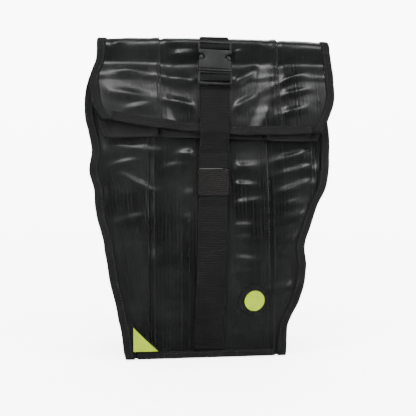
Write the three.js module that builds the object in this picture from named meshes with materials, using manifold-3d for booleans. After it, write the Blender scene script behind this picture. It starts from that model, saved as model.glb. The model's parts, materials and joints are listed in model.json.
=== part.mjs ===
// A roll-top bicycle backpack sewn from strips of inner tube, standing on its base.
// The gusseted mouth is folded once over the front and held by a webbing strap with a side-release buckle.
// Millimetres. Z is up, the front faces -Y, and X runs to the right in a front view.
import * as THREE from "three";
import { mergeVertices } from "three/addons/utils/BufferGeometryUtils.js";
import Module from "manifold-3d";

const wasm = await Module();
wasm.setup();

// Driving sizes of the bag
const HEIGHT = 411; // floor to the top of the fold
const WIDTH = 320; // across the widest pair of front seams
const DEPTH = 118; // front to back at the base
const CROWN = 9; // how far the stuffed front stands out between its seams
const BACK_CROWN = 2.7; // how far the back does
const TUCK = 57; // how far each gusset is folded inwards at the top
const BACK_BASE_WIDTH = 202; // across the back seams at the base
const BACK_TOP_WIDTH = 306; // across the back seams below the fold

// Driving sizes of the cloth
const RUBBER = 1.8; // lined inner tube
const GUSSET = 1.4; // gusset cloth
const BASE_SHEET = 2.4;
const TAPE = 0.9; // binding tape
const TAPE_WIDTH = 11; // how much of a seam the tape covers
const BASE_TAPE_WIDTH = 8.5;
const BASE_TAPE_END = 3; // how far short of a corner a base tape stops
const WEBBING = 1.8;
const WEBBING_WIDTH = 38;
const GAP = 0.4; // clearance between neighbouring pieces
const FACET_GAP = 0.6; // extra clearance where two curved pieces have different facets

// The fold: the front panel turns inside the back panel, which becomes the outer layer
const FOLD_RADIUS = 5; // of the inner layer
const LAYER_GAP = 9.4; // between the inner and the outer layer at their seams
const LAYER_GAP_MIDDLE = 5.4; // between them where no gusset lies between
const FLAP_GAP = 4.5; // between the crown of the bag's front and the inner layer
const FOLD_CENTRE_Y = 4.4;
const FOLD_TOP_SLACK = 0.6;
const OUTER_RADIUS = FOLD_RADIUS + LAYER_GAP;
const FOLD_CENTRE_Z = HEIGHT - OUTER_RADIUS - RUBBER / 2 - FOLD_TOP_SLACK;
const FOLD_STEPS = 6;
const STRIP_STEPS = 4; // facets across a strip of tube

// Seams between the strips of tube, across the bag from its centre line
const FRONT_SEAMS = [-0.247, 0.01, 0.23]; // shares of WIDTH
const BACK_SEAMS = [-0.194, 0.04, 0.291]; // shares of WIDTH
const BACK_SEAM_TAPER = 0.8; // how close the back's seams come at the base

// The front strap leans a little to the right as it rises
const STRAP_FOOT_X = -1;
const STRAP_HEAD_X = 15;

// Buckle, keeper and harness
const BUCKLE_WIDTH = 44;
const BUCKLE_THICKNESS = 9;
const SOCKET_LENGTH = 40;
const PLUG_LENGTH = 21;
const PLUG_THICKNESS = 5;
const BAR = 3.2; // of the socket, which its webbing is threaded round
const SOCKET_RIM = 1.8; // its ladder's outer bar
const SOCKET_WALL = 1.6;
const PLUG_BAR = 5;
const PLUG_RIM = 3.4;
const SLOT = 3.6;
const SHOULDER = 2.6; // length of the plug's shoulder
const WINDOW_DEPTH = 9; // of the window in each side of the socket
const WINDOW_HEIGHT = 11;
const WINDOW_PLACE = 0.44; // its middle, as a share of the socket's length
const ARM = 3; // width of a sprung arm of the plug
const ARM_INSET = 8;
const ARM_PAD = 6.5;
const BUCKLE_DROP = 43; // the plug's shoulder, below the top of the fold
const KEEPER_HEIGHT = 34;
const KEEPER_FOOT = 204; // its lower edge, above the floor
const KEEPER_RETURN = 9; // how far it turns in behind the strap
const PAD_THICKNESS = 9;
const PAD_WIDTH = 58;
const PAD_LIFT = 36; // how far a shoulder strap arches off the back
const HARNESS_WEBBING_WIDTH = 25;
const HARNESS_TOP_X = 44;
const HARNESS_FOOT_X = 72;
const ADJUSTER_WIDTH = 33;
const ADJUSTER_LENGTH = 27;
const ADJUSTER_THICKNESS = 5;
const ADJUSTER_BAR = 3;
const ADJUSTER_OPENING = 6;

// Trim on the front
const CORNER_LEG = 31; // of the reflective triangle
const CORNER_BORDER = 4;
const TRIM = 0.7; // thickness of a patch
const BADGE_RADIUS = 20;
const BADGE_DOT_RADIUS = 13;
const BADGE_X = 58;
const BADGE_Z = 74;

const table = (columns, rows) =>
  rows.map((row) => Object.fromEntries(columns.map((name, i) => [name, row[i]])));

// Front seams seen from the front: height is a share of HEIGHT, left and right are shares of WIDTH
const OUTLINE = table(["height", "left", "right"], [
  [0, -0.321, 0.313],
  [0.029, -0.33, 0.315],
  [0.088, -0.335, 0.317],
  [0.136, -0.348, 0.34],
  [0.185, -0.362, 0.37],
  [0.287, -0.39, 0.39],
  [0.343, -0.398, 0.388],
  [0.377, -0.401, 0.395],
  [0.418, -0.413, 0.417],
  [0.462, -0.429, 0.437],
  [0.55, -0.447, 0.481],
  [0.594, -0.455, 0.495],
  [0.637, -0.454, 0.503],
  [0.681, -0.455, 0.51],
  [0.725, -0.463, 0.512],
  [0.769, -0.473, 0.507],
  [0.856, -0.474, 0.505],
  [0.935, -0.445, 0.504],
  [1, -0.413, 0.503],
]);

// The bag seen from the side: front and back are shares of DEPTH, crown of CROWN, tuck of TUCK
const SIDE = table(["height", "front", "back", "crown", "tuck"], [
  [0, -0.5, 0.5, 0, 0],
  [0.03, -0.5, 0.5, 0, 0],
  [0.09, -0.507, 0.5, 0.5, -0.02],
  [0.24, -0.505, 0.49, 1, -0.06],
  [0.4, -0.465, 0.455, 1, -0.03],
  [0.52, -0.4, 0.41, 0.9, 0.08],
  [0.64, -0.32, 0.35, 0.7, 0.36],
  [0.76, -0.22, 0.28, 0.4, 0.78],
  [0.86, -0.11, 0.215, 0.2, 0.93],
  [0.93, -0.02, 0.18, 0.05, 0.98],
  [1, 0.08, 0.15, 0, 1],
]);

// Edges of the folded layers: drop runs from the fold to the mouth, the rest are shares of WIDTH
const FLAP = table(["drop", "left", "right", "innerLeft", "innerRight"], [
  [0, -0.426, 0.53, -0.413, 0.503],
  [0.15, -0.434, 0.537, -0.42, 0.51],
  [0.32, -0.446, 0.534, -0.43, 0.508],
  [0.5, -0.458, 0.528, -0.438, 0.503],
  [0.68, -0.455, 0.514, -0.433, 0.489],
  [0.84, -0.44, 0.49, -0.42, 0.47],
  [1, -0.411, 0.464, -0.4, 0.447],
]);

// The mouth's edge: across is a share of WIDTH, and the two layers end at shares of HEIGHT
const MOUTH = table(["across", "outer", "inner"], [
  [-0.44, 0.746, 0.674],
  [-0.256, 0.719, 0.684],
  [-0.025, 0.703, 0.681],
  [0.1, 0.696, 0.679],
  [0.256, 0.692, 0.674],
  [0.47, 0.698, 0.668],
]);

// Folds of the rubber: across and length are shares of WIDTH, height and spread of HEIGHT,
// rise is millimetres, slope is the rise of the fold's line to the right
const FRONT_FOLDS = table(["across", "height", "length", "spread", "rise", "slope"], [
  [-0.3, 0.63, 0.1, 0.018, 2, -0.1],
  [-0.3, 0.575, 0.09, 0.02, -2, -0.15],
  [-0.27, 0.52, 0.06, 0.018, 2, -0.5],
  [-0.4, 0.5, 0.03, 0.03, 2.5, 0.6],
  [-0.1, 0.615, 0.07, 0.02, 2, 0],
  [-0.07, 0.5, 0.05, 0.018, 2.5, 0.2],
  [-0.08, 0.42, 0.05, 0.018, 2, 0],
  [-0.15, 0.33, 0.09, 0.03, 2, 0.3],
  [-0.33, 0.16, 0.045, 0.014, 3, -0.4],
  [-0.12, 0.12, 0.08, 0.02, 1.5, 0],
  [0.14, 0.565, 0.08, 0.016, 2.5, 0],
  [0.15, 0.505, 0.09, 0.02, 3, 0.15],
  [0.14, 0.4, 0.07, 0.016, 3, 0],
  [0.14, 0.3, 0.07, 0.016, 3, -0.05],
  [0.17, 0.215, 0.07, 0.014, 2, 0.1],
  [0.12, 0.07, 0.04, 0.02, 2, -0.3],
  [0.35, 0.6, 0.1, 0.014, 2.5, 0.2],
  [0.35, 0.545, 0.1, 0.014, 3, 0.2],
  [0.35, 0.49, 0.1, 0.016, 3, 0.3],
  [0.33, 0.43, 0.07, 0.016, 2, 0.3],
  [0.33, 0.36, 0.05, 0.02, 2, 0.5],
  [0.35, 0.27, 0.05, 0.02, 2.5, -0.4],
  [0.3, 0.21, 0.08, 0.014, 2, 0.1],
]);
const FLAP_FOLDS = table(["across", "height", "length", "spread", "rise", "slope"], [
  [-0.32, 0.93, 0.1, 0.018, 1.5, 0.1],
  [-0.31, 0.865, 0.06, 0.014, 3, 0],
  [-0.32, 0.79, 0.08, 0.02, 2.5, -0.15],
  [-0.1, 0.93, 0.07, 0.016, 3, 0.15],
  [-0.1, 0.86, 0.08, 0.02, 3.5, -0.1],
  [-0.1, 0.775, 0.07, 0.02, 3, -0.2],
  [0.12, 0.92, 0.06, 0.016, 2.5, 0.5],
  [0.13, 0.85, 0.07, 0.02, 3, 0.5],
  [0.14, 0.76, 0.07, 0.016, 2.5, 0.5],
  [0.36, 0.86, 0.06, 0.012, 2, 0.4],
  [0.36, 0.81, 0.06, 0.012, 2, 0.25],
  [0.36, 0.755, 0.07, 0.014, 2, 0.2],
]);

const v3 = (x, y, z) => new THREE.Vector3(x, y, z);
const lerp = THREE.MathUtils.lerp;
const smoothstep = (x, low, high) => THREE.MathUtils.smoothstep(x, low, high);
const range = (count) => Array.from({ length: count }, (_, i) => i);

// A column of a table at a place between its rows, on a smooth curve through them
function at(rows, key, place, column) {
  const last = rows.length - 1;
  const next = rows.findIndex((row) => row[key] >= place);
  const i = next < 0 ? last - 1 : Math.max(0, next - 1);
  const slope = (j) => {
    const a = rows[Math.max(0, j - 1)];
    const b = rows[Math.min(last, j + 1)];
    return (b[column] - a[column]) / (b[key] - a[key]);
  };
  const [a, b] = [rows[i], rows[i + 1]];
  const step = b[key] - a[key];
  const t = THREE.MathUtils.clamp((place - a[key]) / step, 0, 1);
  const [t2, t3] = [t * t, t * t * t];
  return (
    (2 * t3 - 3 * t2 + 1) * a[column] + (t3 - 2 * t2 + t) * step * slope(i) +
    (3 * t2 - 2 * t3) * b[column] + (t3 - t2) * step * slope(i + 1)
  );
}

// Surfaces of the bag. A profile point is {y, z, ny, nz}: a place in side view and the way out there.
const shareOf = (z) => THREE.MathUtils.clamp(z / FOLD_CENTRE_Z, 0, 1);
const foldY = { front: FOLD_CENTRE_Y + FOLD_RADIUS, back: FOLD_CENTRE_Y + OUTER_RADIUS };

function sideY(face, z) {
  const share = shareOf(z);
  return lerp(DEPTH * at(SIDE, "height", share, face), foldY[face], smoothstep(share, 0.9, 1));
}

function bodyProfile(face, z) {
  const step = 3;
  const [low, high] = [Math.max(0, z - step), Math.min(FOLD_CENTRE_Z, z + step)];
  const slope = (sideY(face, high) - sideY(face, low)) / (high - low);
  const size = Math.hypot(1, slope);
  const out = face === "front" ? -1 : 1;
  return { y: sideY(face, z), z, ny: out / size, nz: (-out * slope) / size };
}

function foldProfile(radius, angle, inside) {
  const [c, s] = [Math.cos(angle), Math.sin(angle)];
  const out = inside ? -1 : 1;
  return { y: FOLD_CENTRE_Y + radius * c, z: FOLD_CENTRE_Z + radius * s, ny: out * c, nz: out * s };
}

// A folded layer hangs in front of the bag's own front; out is away from the space between the two layers.
function flapProfile(layer, z) {
  const front = bodyProfile("front", z);
  const settle = smoothstep(FOLD_CENTRE_Z - z, 0, 5 * FOLD_RADIUS);
  const tilt = Math.atan2(front.nz, -front.ny) * settle;
  const overCrown = FLAP_GAP + CROWN * at(SIDE, "height", shareOf(z), "crown");
  const gap = lerp(2 * FOLD_RADIUS, overCrown, settle) + (layer === "outer" ? LAYER_GAP : 0);
  const out = layer === "outer" ? -1 : 1;
  return { y: front.y - gap / Math.cos(tilt), z, ny: out * Math.cos(tilt), nz: -out * Math.sin(tilt) };
}

const strapX = (z) => lerp(STRAP_FOOT_X, STRAP_HEAD_X, z / HEIGHT);

function folds(rows, x, z) {
  let rise = 0;
  for (const fold of rows) {
    const dx = x - fold.across * WIDTH;
    const dz = z - fold.height * HEIGHT - fold.slope * dx;
    const along = dx / (fold.length * WIDTH);
    const across = dz / (fold.spread * HEIGHT);
    rise += fold.rise * Math.exp(-along * along - across * across);
  }
  return rise;
}

// No fold lies under the strap, beside a seam tape, or close to the floor
function calm(x, z, left, right) {
  const beside = Math.min(x - left, right - x) - TAPE_WIDTH;
  const strapEdge = Math.abs(x - strapX(z)) - WEBBING_WIDTH / 2;
  return smoothstep(beside, 0, TAPE_WIDTH) * smoothstep(strapEdge, 3, 14) * smoothstep(z, 10, 36);
}

function crownShare(x, left, right) {
  const half = (right - left) / 2 - TAPE_WIDTH;
  const t = Math.min(1, Math.abs(x - (left + right) / 2) / half);
  return 1 - t ** 2.5;
}

// Rows of the bag, from the floor up to the fold, over it and down to the mouth
const SEAM_FOOT = TAPE + GAP + FACET_GAP;
const FLAP_ROWS = FLAP.length - 1;
const bodyRows = OUTLINE.map((row) => Math.max(SEAM_FOOT, row.height * FOLD_CENTRE_Z));
const ROWS = bodyRows.length + FOLD_STEPS + FLAP_ROWS;

const mouthZ = (layer, x) => HEIGHT * at(MOUTH, "across", x / WIDTH, layer);

// Back seams are hidden from the front, so they widen evenly
function backEdge(side, z) {
  const half = lerp(BACK_BASE_WIDTH, BACK_TOP_WIDTH, smoothstep(shareOf(z), 0, 0.85)) / 2;
  const top = WIDTH * FLAP[0][side];
  const own = side === "left" ? -half : half;
  return lerp(own, top, smoothstep(shareOf(z), 0.75, 1));
}

// How far the stuffed bag stands out of its side view's line
function frontRelief(x, z, left, right) {
  const crown = CROWN * at(SIDE, "height", shareOf(z), "crown") * crownShare(x, left, right);
  return crown + folds(FRONT_FOLDS, x, z) * calm(x, z, left, right);
}

function backRelief(x, z, left, right) {
  return BACK_CROWN * at(SIDE, "height", shareOf(z), "crown") * crownShare(x, left, right);
}

// A panel's row: how its edges lie, and functions from x to the side view's point and to the relief
function panelRow(panel, index) {
  const inner = panel === "front";
  const seams = (inner ? FRONT_SEAMS : BACK_SEAMS).map((share) => share * WIDTH);
  if (index < bodyRows.length) {
    const z = bodyRows[index];
    const share = shareOf(z);
    const edge = (side) => (inner ? WIDTH * at(OUTLINE, "height", share, side) : backEdge(side, z));
    const [left, right] = [edge("left"), edge("right")];
    const profile = bodyProfile(panel, z);
    const relief = inner
      ? (x) => frontRelief(x, z, left, right)
      : (x) => backRelief(x, z, left, right) + closeness(x, left, right) * smoothstep(share, 0.8, 1);
    const taper = inner ? 1 : lerp(BACK_SEAM_TAPER, 1, smoothstep(share, 0, 0.8));
    return { left, right, seams: seams.map((x) => x * taper), profile: () => profile, relief };
  }
  const over = index - bodyRows.length + 1;
  const top = FLAP[0];
  if (over <= FOLD_STEPS) {
    const radius = inner ? FOLD_RADIUS : OUTER_RADIUS;
    const profile = foldProfile(radius, (Math.PI * over) / FOLD_STEPS, inner);
    const [left, right] = inner ? [top.innerLeft, top.innerRight] : [top.left, top.right];
    const relief = (x) => (inner ? 0 : closeness(x, WIDTH * left, WIDTH * right));
    return { left: WIDTH * left, right: WIDTH * right, seams, profile: () => profile, relief };
  }
  const layer = inner ? "inner" : "outer";
  const edges = FLAP[over - FOLD_STEPS];
  const [left, right] = inner ? [edges.innerLeft, edges.innerRight] : [edges.left, edges.right];
  const height = (x) => lerp(FOLD_CENTRE_Z, mouthZ(layer, x), edges.drop);
  const relief = (x) => {
    if (inner) return 0;
    const z = height(x);
    const [a, b] = [WIDTH * left, WIDTH * right];
    return closeness(x, a, b) + folds(FLAP_FOLDS, x, z) * calm(x, z, a, b);
  };
  const profile = (x) => flapProfile(layer, height(x));
  return { left: WIDTH * left, right: WIDTH * right, seams, profile, relief };
}

// The outer layer comes closer to the inner one between the gussets
function closeness(x, left, right) {
  const beside = Math.min(x - left, right - x) - TAPE_WIDTH;
  return -(LAYER_GAP - LAYER_GAP_MIDDLE) * smoothstep(beside, TUCK + 14, TUCK + 34);
}

function pointOn(row, x, offset) {
  const p = row.profile(x);
  const out = offset + row.relief(x);
  return v3(x, p.y + out * p.ny, p.z + out * p.nz);
}

const frontRows = range(ROWS).map((i) => panelRow("front", i));
const backRows = range(ROWS).map((i) => panelRow("back", i));

// A closed sheet between two grids of points of the same size, as rows of columns
function sheet(outer, inner) {
  const [rows, columns] = [outer.length, outer[0].length];
  const points = [...outer.flat(), ...inner.flat()];
  const id = (layer, r, c) => layer * rows * columns + r * columns + c;
  const faces = [];
  const quad = (a, b, c, d) => faces.push(a, b, c, a, c, d);
  for (let r = 0; r < rows - 1; r++) {
    for (let c = 0; c < columns - 1; c++) {
      quad(id(0, r, c), id(0, r, c + 1), id(0, r + 1, c + 1), id(0, r + 1, c));
      quad(id(1, r, c), id(1, r + 1, c), id(1, r + 1, c + 1), id(1, r, c + 1));
    }
    const end = columns - 1;
    quad(id(0, r, 0), id(0, r + 1, 0), id(1, r + 1, 0), id(1, r, 0));
    quad(id(0, r, end), id(1, r, end), id(1, r + 1, end), id(0, r + 1, end));
  }
  for (let c = 0; c < columns - 1; c++) {
    const end = rows - 1;
    quad(id(0, 0, c), id(1, 0, c), id(1, 0, c + 1), id(0, 0, c + 1));
    quad(id(0, end, c), id(0, end, c + 1), id(1, end, c + 1), id(1, end, c));
  }
  const geometry = new THREE.BufferGeometry().setFromPoints(points);
  geometry.setIndex(faces);
  return facingOut(geometry);
}

// Turns a closed geometry's faces round if they point inwards
function facingOut(geometry) {
  const place = geometry.getAttribute("position");
  const index = geometry.index.array;
  const corner = (i) => new THREE.Vector3().fromBufferAttribute(place, index[i]);
  let volume = 0;
  for (let i = 0; i < index.length; i += 3) volume += corner(i).dot(corner(i + 1).cross(corner(i + 2)));
  if (volume < 0) {
    for (let i = 0; i < index.length; i += 3) [index[i + 1], index[i + 2]] = [index[i + 2], index[i + 1]];
  }
  return geometry;
}

// Ways out of a grid of points, from its neighbours
function normals(grid) {
  return grid.map((row, r) =>
    row.map((_, c) => {
      const up = grid[Math.min(grid.length - 1, r + 1)][c].clone().sub(grid[Math.max(0, r - 1)][c]);
      const along = row[Math.min(row.length - 1, c + 1)].clone().sub(row[Math.max(0, c - 1)]);
      return along.cross(up).normalize();
    }),
  );
}

// A sheet of even thickness whose middle is a grid of points
function cloth(grid, thickness) {
  const out = normals(grid);
  const face = (half) => grid.map((row, r) => row.map((p, c) => p.clone().addScaledVector(out[r][c], half)));
  return sheet(face(thickness / 2), face(-thickness / 2));
}

// Conversions for cutting and joining
function solid(geometry) {
  const bare = geometry.clone();
  bare.deleteAttribute("normal");
  bare.deleteAttribute("uv");
  const merged = mergeVertices(bare, 1e-4);
  return new wasm.Manifold(
    new wasm.Mesh({
      numProp: 3,
      vertProperties: merged.attributes.position.array,
      triVerts: new Uint32Array(merged.index.array),
    }),
  );
}

function geometryOf(manifold) {
  const { vertProperties, triVerts } = manifold.getMesh();
  const geometry = new THREE.BufferGeometry();
  geometry.setAttribute("position", new THREE.BufferAttribute(new Float32Array(vertProperties), 3));
  geometry.setIndex(new THREE.BufferAttribute(new Uint32Array(triVerts), 1));
  return geometry;
}

const finish = (color, roughness) => new THREE.MeshStandardMaterial({ color, roughness, metalness: 0 });
const MATERIALS = {
  rubber: finish(0x1a1b1c, 0.32),
  nylon: finish(0x121212, 0.8),
  webbing: finish(0x141515, 0.75),
  plastic: finish(0x1b1d1e, 0.4),
  reflective: finish(0xd8f000, 0.45),
};

const bag = new THREE.Group();

function add(name, geometry, material, parent = bag) {
  const mesh = new THREE.Mesh(geometry, MATERIALS[material]);
  mesh.name = name;
  parent.add(mesh);
  return mesh;
}

// Columns of one strip of a panel at a row, from its left to its right boundary
function stripColumns(row, strip) {
  const edges = [row.left, ...row.seams, row.right];
  const last = row.seams.length;
  const left = edges[strip] + (strip > 0 ? GAP / 2 : 0);
  const right = edges[strip + 1] - (strip < last ? GAP / 2 : 0);
  const between = (a, b, steps) => range(steps + 1).map((i) => lerp(a, b, i / steps));
  if (strip === 0) return [left, ...between(left + TAPE_WIDTH, right, STRIP_STEPS - 1)];
  if (strip === last) return [...between(left, right - TAPE_WIDTH, STRIP_STEPS - 1), right];
  return between(left, right, STRIP_STEPS);
}

// Strips of tube, each one piece from the base over the fold to the mouth
function addStrips(panel, rows) {
  range(rows[0].seams.length + 1).forEach((strip) => {
    const face = (offset) => rows.map((row) => stripColumns(row, strip).map((x) => pointOn(row, x, offset)));
    add(`${panel}_tube_strip_${strip + 1}`, sheet(face(RUBBER / 2), face(-RUBBER / 2)), "rubber");
  });
}

// A seam's frame at a row: its fin's tip, the way out along the fin, and the way out of the bag
const SEAM_DEPTH = RUBBER / 2 + GAP + GUSSET / 2; // from a strip's middle to its gusset's
function seamPoint(row, side, inwards, offset) {
  const sign = side === "left" ? 1 : -1;
  const x = row[side] + sign * inwards;
  const p = row.profile(row[side] + sign * TAPE_WIDTH);
  return v3(x, p.y + offset * p.ny, p.z + offset * p.nz);
}

// One gusset's row: fin, deep fold and fin. Flat folds become hairpins, so that the two legs stay apart.
function gussetRow(side, index) {
  const [front, back] = [frontRows[index], backRows[index]];
  const sign = side === "left" ? 1 : -1;
  const root = (row) => seamPoint(row, side, TAPE_WIDTH, -SEAM_DEPTH);
  const [a, b] = [root(front), root(back)];
  const hairpin = smoothstep(-a.distanceTo(b), -0.55 * DEPTH, -0.15 * DEPTH);
  const body = index < bodyRows.length;
  const tuck = TUCK * (body ? at(SIDE, "height", shareOf(bodyRows[index]), "tuck") : 1);
  const quarter = lerp(0.17, 0.02, hairpin);
  const third = lerp(0.34, 0.06, hairpin);
  const near = lerp(0.7, 0.94, hairpin);
  const frontLeg = [[0, 0], [quarter, 0.4], [third, near]];
  const backLeg = [[1 - third, near], [1 - quarter, 0.4], [1, 0]];
  const legs = [...frontLeg, [0.5, 1], ...backLeg];
  const points = legs.map(([depthShare, tuckShare]) => {
    const p = a.clone().lerp(b, depthShare);
    p.x += sign * tuck * tuckShare;
    return p;
  });
  const alongRows = (row, out) => {
    const p = row.profile(row[side]);
    return v3(0, -out * p.nz, out * p.ny);
  };
  const [frontWay, backWay] = [alongRows(front, -1), alongRows(back, 1)];
  const depths = [0, ...legs.map(([depthShare]) => depthShare), 1];
  return {
    points: [seamPoint(front, side, 0, -SEAM_DEPTH), ...points, seamPoint(back, side, 0, -SEAM_DEPTH)],
    ways: depths.map((share) => frontWay.clone().lerp(backWay, share)),
  };
}

function addGussets() {
  const face = (side, offset) => range(ROWS).map((index) => {
    const { points, ways } = gussetRow(side, index);
    return points.map((p, i) => {
      const along = points[Math.min(points.length - 1, i + 1)].clone().sub(points[Math.max(0, i - 1)]);
      return p.clone().addScaledVector(along.cross(ways[i]).normalize(), offset);
    });
  });
  for (const side of ["left", "right"]) {
    add(`${side}_gusset`, sheet(face(side, GUSSET / 2), face(side, -GUSSET / 2)), "nylon");
  }
}

// Tape folded round a seam's fin, from the floor to the mouth
function addSeamTape(name, rows, side) {
  const outside = RUBBER / 2 + GAP;
  const inside = -SEAM_DEPTH - GUSSET / 2 - GAP;
  const innerLeg = TAPE_WIDTH - GUSSET - 2 * GAP;
  const wall = (clear) => (row, i) => {
    const grid = [
      seamPoint(row, side, TAPE_WIDTH - GAP, outside + clear),
      seamPoint(row, side, -GAP - clear, outside + clear),
      seamPoint(row, side, -GAP - clear, inside - clear),
      seamPoint(row, side, innerLeg, inside - clear),
    ];
    if (i === 0) grid.forEach((p) => (p.z = GAP));
    return grid;
  };
  add(name, sheet(rows.map(wall(TAPE)), rows.map(wall(0))), "nylon");
}

// A fold of tape along an edge of cloth. The edge is a list of {point, down, out}, and the section
// gives places along down and out for the tape's inner or outer wall.
function foldedTape(edge, section) {
  const wall = (clear) => ({ point, down, out }) =>
    section(clear).map(([along, offset]) =>
      point.clone().addScaledVector(down, along).addScaledVector(out, offset));
  return sheet(edge.map(wall(TAPE)), edge.map(wall(0)));
}

// Tape over both faces of an edge, with its long leg on the out side
function edgeTape(edge, thickness, longLeg, shortLeg) {
  const half = thickness / 2 + GAP;
  return foldedTape(edge, (clear) => [
    [-longLeg, half + clear],
    [GAP + clear, half + clear],
    [GAP + clear, -half - clear],
    [-shortLeg, -half - clear],
  ]);
}

// Tape on one face of an edge, with a lip under it
function lipTape(edge, thickness, width) {
  const half = thickness / 2 + FACET_GAP;
  return foldedTape(edge, (clear) => [
    [-width, half + clear],
    [GAP + clear, half + clear],
    [GAP + clear, -thickness / 2],
  ]);
}

// The mouth's edges: the outer layer's front, and the inner layer's front between the gussets
function addMouthTapes() {
  const end = ROWS - 1;
  const steps = 16;
  const edgeOf = (rows, inset) =>
    range(steps + 1).map((i) => {
      const x = lerp(rows[end].left + inset, rows[end].right - inset, i / steps);
      const point = pointOn(rows[end], x, 0);
      const down = point.clone().sub(pointOn(rows[end - 1], x, 0)).setX(0).normalize();
      return { point, down, out: v3(0, down.z, -down.y) };
    });
  const besideTape = TAPE_WIDTH + 2 * GAP;
  const besideGusset = TAPE_WIDTH + TUCK + 4 * GAP;
  add("mouth_tape_outer", lipTape(edgeOf(backRows, besideTape), RUBBER, TAPE_WIDTH), "nylon");
  add("mouth_tape_inner", lipTape(edgeOf(frontRows, besideGusset), RUBBER, TAPE_WIDTH), "nylon");
}

// The base, and tape round the lower edges of the four walls
function addBase() {
  const inset = TAPE_WIDTH + RUBBER / 2 + 2 * GAP + TAPE;
  const [front, back] = [sideY("front", 0), sideY("back", 0)];
  const [near, far] = [front + inset - TAPE_WIDTH, back - inset + TAPE_WIDTH];
  const floor = new THREE.Shape([
    new THREE.Vector2(frontRows[0].left + inset, near),
    new THREE.Vector2(frontRows[0].right - inset, near),
    new THREE.Vector2(backRows[0].right - inset, far),
    new THREE.Vector2(backRows[0].left + inset, far),
  ]);
  add("base_panel", new THREE.ExtrudeGeometry(floor, { depth: BASE_SHEET, bevelEnabled: false }), "nylon");

  const corner = TAPE_WIDTH + BASE_TAPE_END;
  for (const [name, rows, y, way] of [["front", frontRows, front, -1], ["back", backRows, back, 1]]) {
    const ends = [rows[0].left + corner, rows[0].right - corner];
    const edge = ends.map((x) => ({ point: v3(x, y, SEAM_FOOT), down: v3(0, 0, -1), out: v3(0, way, 0) }));
    add(`base_tape_${name}`, edgeTape(edge, RUBBER, BASE_TAPE_WIDTH, TAPE_WIDTH / 2), "nylon");
  }
  for (const side of ["left", "right"]) {
    const [low, high] = [gussetRow(side, 0).points, gussetRow(side, 1).points];
    const root = (points, fromBack) => points[fromBack ? points.length - 2 : 1];
    const edge = [false, true].map((fromBack) => {
      const inwards = root(low, !fromBack).clone().sub(root(low, fromBack)).normalize();
      const down = root(low, fromBack).clone().sub(root(high, fromBack)).setY(0).normalize();
      const out = side === "left" ? v3(down.z, 0, -down.x) : v3(-down.z, 0, down.x);
      return { point: root(low, fromBack).clone().addScaledVector(inwards, BASE_TAPE_END), down, out };
    });
    add(`base_tape_${side}`, edgeTape(edge, GUSSET, TAPE_WIDTH / 2, TAPE_WIDTH / 2), "nylon");
  }
}

// A band whose middle line runs through side-view points {x, y, z}, straight across the bag
function band(path, width, thickness) {
  return cloth(path.map(({ x, y, z }) => [v3(x - width / 2, y, z), v3(x + width / 2, y, z)]), thickness);
}

const STRAP_LIFT = RUBBER / 2 + FACET_GAP + WEBBING / 2;
const KEEPER_LIFT = STRAP_LIFT + TAPE + 2 * GAP;
const KEEPER_ROWS = range(4).map((i) => KEEPER_FOOT + (KEEPER_HEIGHT * i) / 3);

// The strap's own place on the front at a height
function onFront(z, lift) {
  const p = frontAt(strapX(z), z, lift);
  return { x: p.x, y: p.y, z: p.z };
}

// The strap's own place on a panel's row
function strapPlace(row, lift) {
  const x = strapX(row.profile(STRAP_HEAD_X).z);
  const p = pointOn(row, x, lift);
  return { x, y: p.y, z: p.z };
}

// The buckle lies on the flap and touches it at the fold and at the plug's end.
// Its own Z runs up the strap and -Y is its front.
const buckle = new THREE.Group();

function placeBuckle() {
  const surface = (z) => {
    const p = flapProfile("outer", z);
    return p.y + p.ny * (LAYER_GAP_MIDDLE - LAYER_GAP + RUBBER / 2);
  };
  const [low, middle, high] = [HEIGHT - BUCKLE_DROP - PLUG_LENGTH, HEIGHT - BUCKLE_DROP, FOLD_CENTRE_Z];
  const lowY = surface(low) - 2 * FACET_GAP - WEBBING - GAP - PLUG_THICKNESS / 2;
  const highY = surface(high) - 2 * FACET_GAP - BUCKLE_THICKNESS / 2;
  const slope = (highY - lowY) / (high - low);
  buckle.position.set(strapX(middle), lowY + slope * (middle - low), middle);
  buckle.rotation.set(-Math.atan(slope), Math.atan((STRAP_HEAD_X - STRAP_FOOT_X) / HEIGHT), 0, "YXZ");
  buckle.updateMatrix();
}

// A point of the middle plane of a placed piece
const onPiece = (piece, y, z) => {
  const p = v3(0, y, z).applyMatrix4(piece.matrix);
  return { x: p.x, y: p.y, z: p.z };
};

function rounded(width, height, radius) {
  const shape = new THREE.Shape();
  const [w, h] = [width / 2, height / 2];
  shape.moveTo(-w + radius, -h).lineTo(w - radius, -h).quadraticCurveTo(w, -h, w, -h + radius);
  shape.lineTo(w, h - radius).quadraticCurveTo(w, h, w - radius, h);
  shape.lineTo(-w + radius, h).quadraticCurveTo(-w, h, -w, h - radius);
  shape.lineTo(-w, -h + radius).quadraticCurveTo(-w, -h, -w + radius, -h);
  return shape;
}

// A plate in a piece's own frame: seen from its front, thickness along Y, centred
function plate(shape, thickness, bevel) {
  const options = {
    depth: thickness - 2 * bevel,
    bevelThickness: bevel,
    bevelSize: bevel,
    bevelOffset: -bevel,
    bevelSegments: 1,
    curveSegments: 3,
  };
  const made = new THREE.ExtrudeGeometry(shape, options);
  made.translate(0, 0, -thickness / 2 + bevel);
  return made.rotateX(Math.PI / 2);
}

const box = (width, depth, height, x, y, z) => new THREE.BoxGeometry(width, depth, height).translate(x, y, z);
const cut = (first, cutters) => cutters.reduce((rest, cutter) => rest.subtract(solid(cutter)), first);
const join = (first, pieces) => pieces.reduce((rest, piece) => rest.add(solid(piece)), first);

const SLOT_WIDTH = WEBBING_WIDTH + 2 * GAP;
const THROUGH = 4 * BUCKLE_THICKNESS; // longer than any plate is thick

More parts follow.
